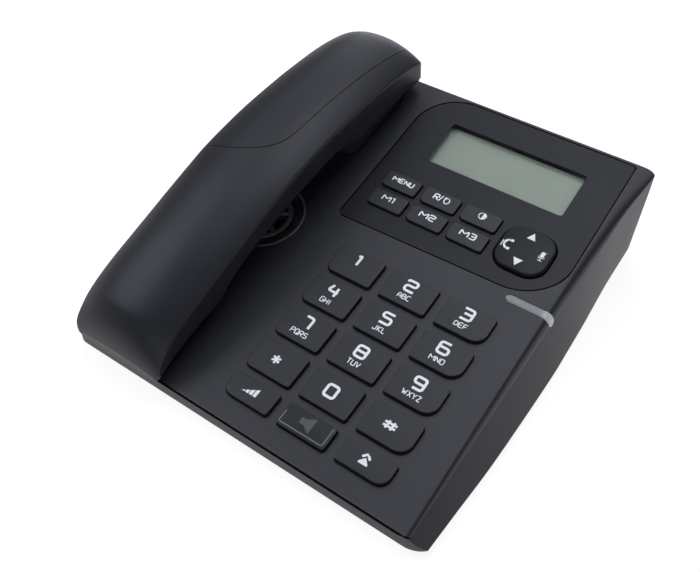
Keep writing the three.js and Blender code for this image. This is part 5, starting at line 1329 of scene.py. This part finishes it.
def lay_plate(points, faces, outline, height, place):
    """Adds one filled shape as a thin closed solid, cut into small triangles so that it follows the crown."""
    work = bmesh.new()
    work.faces.new([work.verts.new((u, v, 0)) for u, v in outline])
    bmesh.ops.triangulate(work, faces=work.faces)
    bmesh.ops.subdivide_edges(work, edges=work.edges, cuts=PLATE_CUTS, use_grid_fill=True)
    work.verts.index_update()
    first, count = len(points), len(work.verts)
    for level in (PRINT_PROUD, -PRINT_SINK):
        points += [place(p.co.x, p.co.y, height(p.co.x, p.co.y) + level) for p in work.verts]
    for face in work.faces:
        corners = [first + p.index for p in face.verts]
        faces += [tuple(corners), tuple(c + count for c in reversed(corners))]
    for edge in work.edges:
        if edge.is_boundary:
            a, b = (first + p.index for p in edge.verts)
            faces.append((a, a + count, b + count, b))
    work.free()


print("a legend stands", PRINT_PROUD, "mm proud of its key")

# %% [markdown]
# All the strokes and plates of a legend are one piece, which rides on its key. Most keys take their legend from the
# key table, which gives the crown that the print follows.
# %% Legend pieces
def print_piece(name, body, height, place, strokes, plates, material=PRINT):
    """strokes are (line, width, bend radius); plates are filled outlines."""
    points, faces = [], []
    for stroke in strokes:
        lay_ribbon(points, faces, *stroke, height, place)
    for outline in plates:
        lay_plate(points, faces, outline, height, place)
    return finish(outward(new_piece(name, points, faces)), material, body, "key_plastic")


def key_print(name, strokes, plates=(), material=PRINT, suffix="_legend"):
    key = KEYS[name]
    return print_piece(name + suffix, name, crown_height(key.width, key.depth, key.rise), key_plane(key.x, key.s),
                       strokes, plates, material)


print("keys with a legend of their own:", len(KEYS))

# %% [markdown]
# A word is set around its middle, sign by sign. The unit of its grid is wider than high on the number keys, because
# their figures are broad. Letters stand under the figures.
# %% Legends of the number keys
DIGIT_UNIT, LETTER_UNIT = (1.175, 0.917), (0.385, 0.392)
DIGIT_STROKE, SIGN_STROKE, LETTER_STROKE = 1.2, 0.95, 0.42
LEGEND_U, DIGIT_V, LETTER_V, LONE_V = -0.55, 2.8, -3.2, 0.5
BEND, SPACING, SIGN_WIDTH, HALF_HIGH = 1.25, 1.5, 4.0, 3


def word(text, unit, u, v, stroke, bend):
    """Strokes of a word whose middle is at u, v; unit is the width and the height of one grid step."""
    signs = [text] if text in STROKES else list(text)
    widths = [SIGN_WIDTHS.get(sign, SIGN_WIDTH) for sign in signs]
    x = -(sum(widths) + SPACING * (len(signs) - 1)) / 2
    strokes = []
    for sign, width in zip(signs, widths):
        for line in STROKES[sign]:
            strokes.append(([(u + (x + a) * unit[0], v + (b - HALF_HIGH) * unit[1]) for a, b in line], stroke, bend))
        x += width + SPACING
    return strokes


for label, letters in LEGENDS.items():
    middle = LONE_V if label in ("star", "0", "hash") else DIGIT_V
    stroke = SIGN_STROKE if label in ("star", "hash") else DIGIT_STROKE
    key_print("key_" + label, word(label, DIGIT_UNIT, LEGEND_U, middle, stroke, BEND)
              + word(letters, LETTER_UNIT, LEGEND_U, LETTER_V, LETTER_STROKE, BEND * LETTER_UNIT[0]))

# %% [markdown]
# The function keys carry signs instead of figures: rising bars for the volume, a loudspeaker and stacked arrows.
# The loudspeaker key is smoked, with a thin pale line round its top that is a painted glint, and a grey sign that
# only shows as it is lit.
# %% Legends of the function keys
WEDGE_LEFT, WEDGE_FOOT, WEDGE_SLOPE, WEDGE_BAR, WEDGE_GAP = -3.8, -1.2, 0.55, 1.42, 0.4


def wedge_bar(k):
    """One of the bars that the rising wedge of the volume key is cut into."""
    left = WEDGE_LEFT + k * (WEDGE_BAR + WEDGE_GAP)
    right = left + WEDGE_BAR
    tops = [WEDGE_FOOT + (u - WEDGE_LEFT) * WEDGE_SLOPE for u in (left, right)]
    return [(left, WEDGE_FOOT), (right, WEDGE_FOOT), (right, tops[1])] + ([(left, tops[0])] if k else [])


key_print("volume_key", [], [wedge_bar(k) for k in range(4)])
speaker_sign = [(-3.4, -0.5), (-1.2, -0.5), (2.4, -2.75), (2.4, 4.45), (-1.2, 2.2), (-3.4, 2.2)]
key_print("speaker_key", [], [speaker_sign], GREY_PRINT)
# The pale line is a painted glint on the key's edges.
glint_line = [(-10.6, 1.5), (-10.6, -3.9), (9.8, -3.9), (9.8, 4.5)]
key_print("speaker_key", [(glint_line, 0.38, 0.8)], [], PAINTED_GLINT, "_painted_glint")
arrow = [(-2.7, -1.7), (1.3, -1.7), (1.3, -1.0), (-0.7, 1.3), (-2.7, -1.0)]
chevron = [(-2.4, 1.1), (-0.7, 3.0), (1.0, 1.1)]
key_print("flash_key", [(chevron, 1.0, 0.0)], [arrow])

# %% [markdown]
# The small keys carry short words, a letter with a turned arrow for the redial, and a half filled circle for the
# contrast. Their strokes are finer.
# %% Legends of the small keys
SMALL_STROKE = 0.65


def word_on(text, unit, u, v):
    return word(text, unit, u, v, SMALL_STROKE, BEND * unit[0])


def arc(radius, start, end, u=0.0, v=0.0, steps=14):
    turns = [math.radians(start + (end - start) * k / steps) for k in range(steps + 1)]
    return [(u + radius * math.cos(t), v + radius * math.sin(t)) for t in turns]


key_print("menu_key", word_on("MENU", (0.478, 0.425), 0.4, 0.9))
for number in "123":
    key_print("memory_key_" + number, word_on("M" + number, (0.655, 0.51), -0.2, 1.15))
slash = ([(-0.85, -0.9), (0.2, 2.7)], SMALL_STROKE * 0.8, 0.0)
redial_turn = ([(u, v * 1.3) for u, v in arc(1.3, -210, 120, 2.85, 0.6)], SMALL_STROKE * 0.85, 0.0)
key_print("redial_key", word_on("R", (0.57, 0.53), -2.6, 0.9) + [slash, redial_turn],
          [[(1.4, 2.9), (1.3, 1.4), (2.7, 2.0)]])
key_print("contrast_key", [(arc(1.75, 0, 360, 0.15, 1.2, 24), 0.5, 0.0)], [arc(1.75, -90, 90, 0.15, 1.2)])

# %% [markdown]
# The navigation key has two triangles, a small handset and a microphone with a bar across it.
# %% Legends of the navigation key
triangle_up = [(-2.4, 6.0), (1.6, 6.0), (-0.4, 10.0)]
triangle_down = [(-2.6, -5.8), (-0.4, -9.7), (1.8, -5.8)]
mic_body = arc(0.9, 0, 180, 7.7, 1.9, 8) + arc(0.9, 180, 360, 7.7, 0.4, 8)
nav_strokes = [
    (arc(2.7, 112, 248, -6.9, -0.75, 12), 1.05, 0.0),
    ([(-7.7, 1.6), (-6.3, 1.6)], 1.35, 0.0),
    ([(-7.7, -3.1), (-6.3, -3.1)], 1.35, 0.0),
    ([(-10.6, -2.9), (-10.6, 0.5)], 0.42, 0.0),
    (arc(1.5, 200, 340, 7.7, 0.5, 8), 0.3, 0.0),
    ([(7.7, -1.0), (7.7, -2.1)], 0.35, 0.0),
    ([(6.8, -2.25), (8.6, -2.25)], 0.35, 0.0),
    ([(6.5, -1.5), (9.0, 2.8)], 0.25, 0.0),
]
print_piece("navigation_key_legend", "navigation_key", nav_top, nav_plane, nav_strokes,
            [triangle_up, triangle_down, mic_body])

# %% [markdown]
# ## Small parts
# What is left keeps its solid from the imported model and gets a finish: boards, mats, capsules, screws and the
# display. Each solid is shaded flat, as machined and moulded blocks are.
# %% Finishes of the other solids
FINISHES = [
    (DISPLAY, "display_module"), (WINDOW, "display_window"), (LENS, "ring_lamp"), (KEYTOP, "hook_plunger"),
    (HOUSING, "hook_tab"), (BOARD, "main_board display_board"),
    (RUBBER, "keypad_mat panel_key_mat foot_1 foot_2 foot_3 foot_4"),
    (INNER, "navigation_pivot loudspeaker hook_switch line_jack cord_jack handset_jack"),
    (STEEL, "base_microphone ballast_plate receiver_capsule transmitter_capsule handset_weight handset_screw_1 "
            "handset_screw_2 base_screw_1 base_screw_2 base_screw_3 base_screw_4"),
]
finished = [(node, material) for material, names in FINISHES for node in names.split()]
for node, material in finished:
    nodes[node].data.materials.clear()
    nodes[node].data.materials.append(material)
print("finished solids:", len(finished))

# %% [markdown]
# Each jack holds four sprung contact wires, which slope down and inwards from the top of its opening. They are drawn
# once, by the depth behind the opening, and each jack turns that depth its own way.
# %% Contact wires
WIRES, WIRE_PITCH, WIRE_WIDTH, WIRE_THICK = 4, 1.02, 0.46, 0.2
WIRE_PATH = [(1.6, 2.7), (2.6, 2.2), (7.6, -0.9), (8.2, -0.9)]
WIRE_CORNERS = [(WIRE_WIDTH * side, WIRE_THICK * lift) for side, lift in ((-0.5, 0), (0.5, 0), (0.5, 1), (-0.5, 1))]


def contact_wires(jack, body, place):
    """place takes the jack's lowest corner, highest corner and middle, then the depth, the place across and up."""
    low, high = ((corner - HOME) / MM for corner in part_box(jack))
    points, faces = [], []
    for k in range(WIRES):
        middle = (k - (WIRES - 1) / 2) * WIRE_PITCH
        faces += bar_faces(len(points), len(WIRE_CORNERS), len(WIRE_PATH))
        points += [place(low, high, (low + high) / 2, depth, middle + across, height + lift)
                   for depth, height in WIRE_PATH for across, lift in WIRE_CORNERS]
    finish(outward(new_piece(jack + "_contacts", points, faces)), GOLD, body, "steel")


contact_wires("line_jack", "base", lambda low, high, middle, depth, across, up: spot(
    middle.x + across, high.y - depth, middle.z + up))
contact_wires("cord_jack", "base", lambda low, high, middle, depth, across, up: spot(
    low.x + depth, middle.y + across, middle.z + up))
contact_wires("handset_jack", "handset", lambda low, high, middle, depth, across, up: grip(
    low.x - HANDSET_X + depth, JACK_Y + across, JACK_LOW + JACK_HEIGHT / 2 + up))
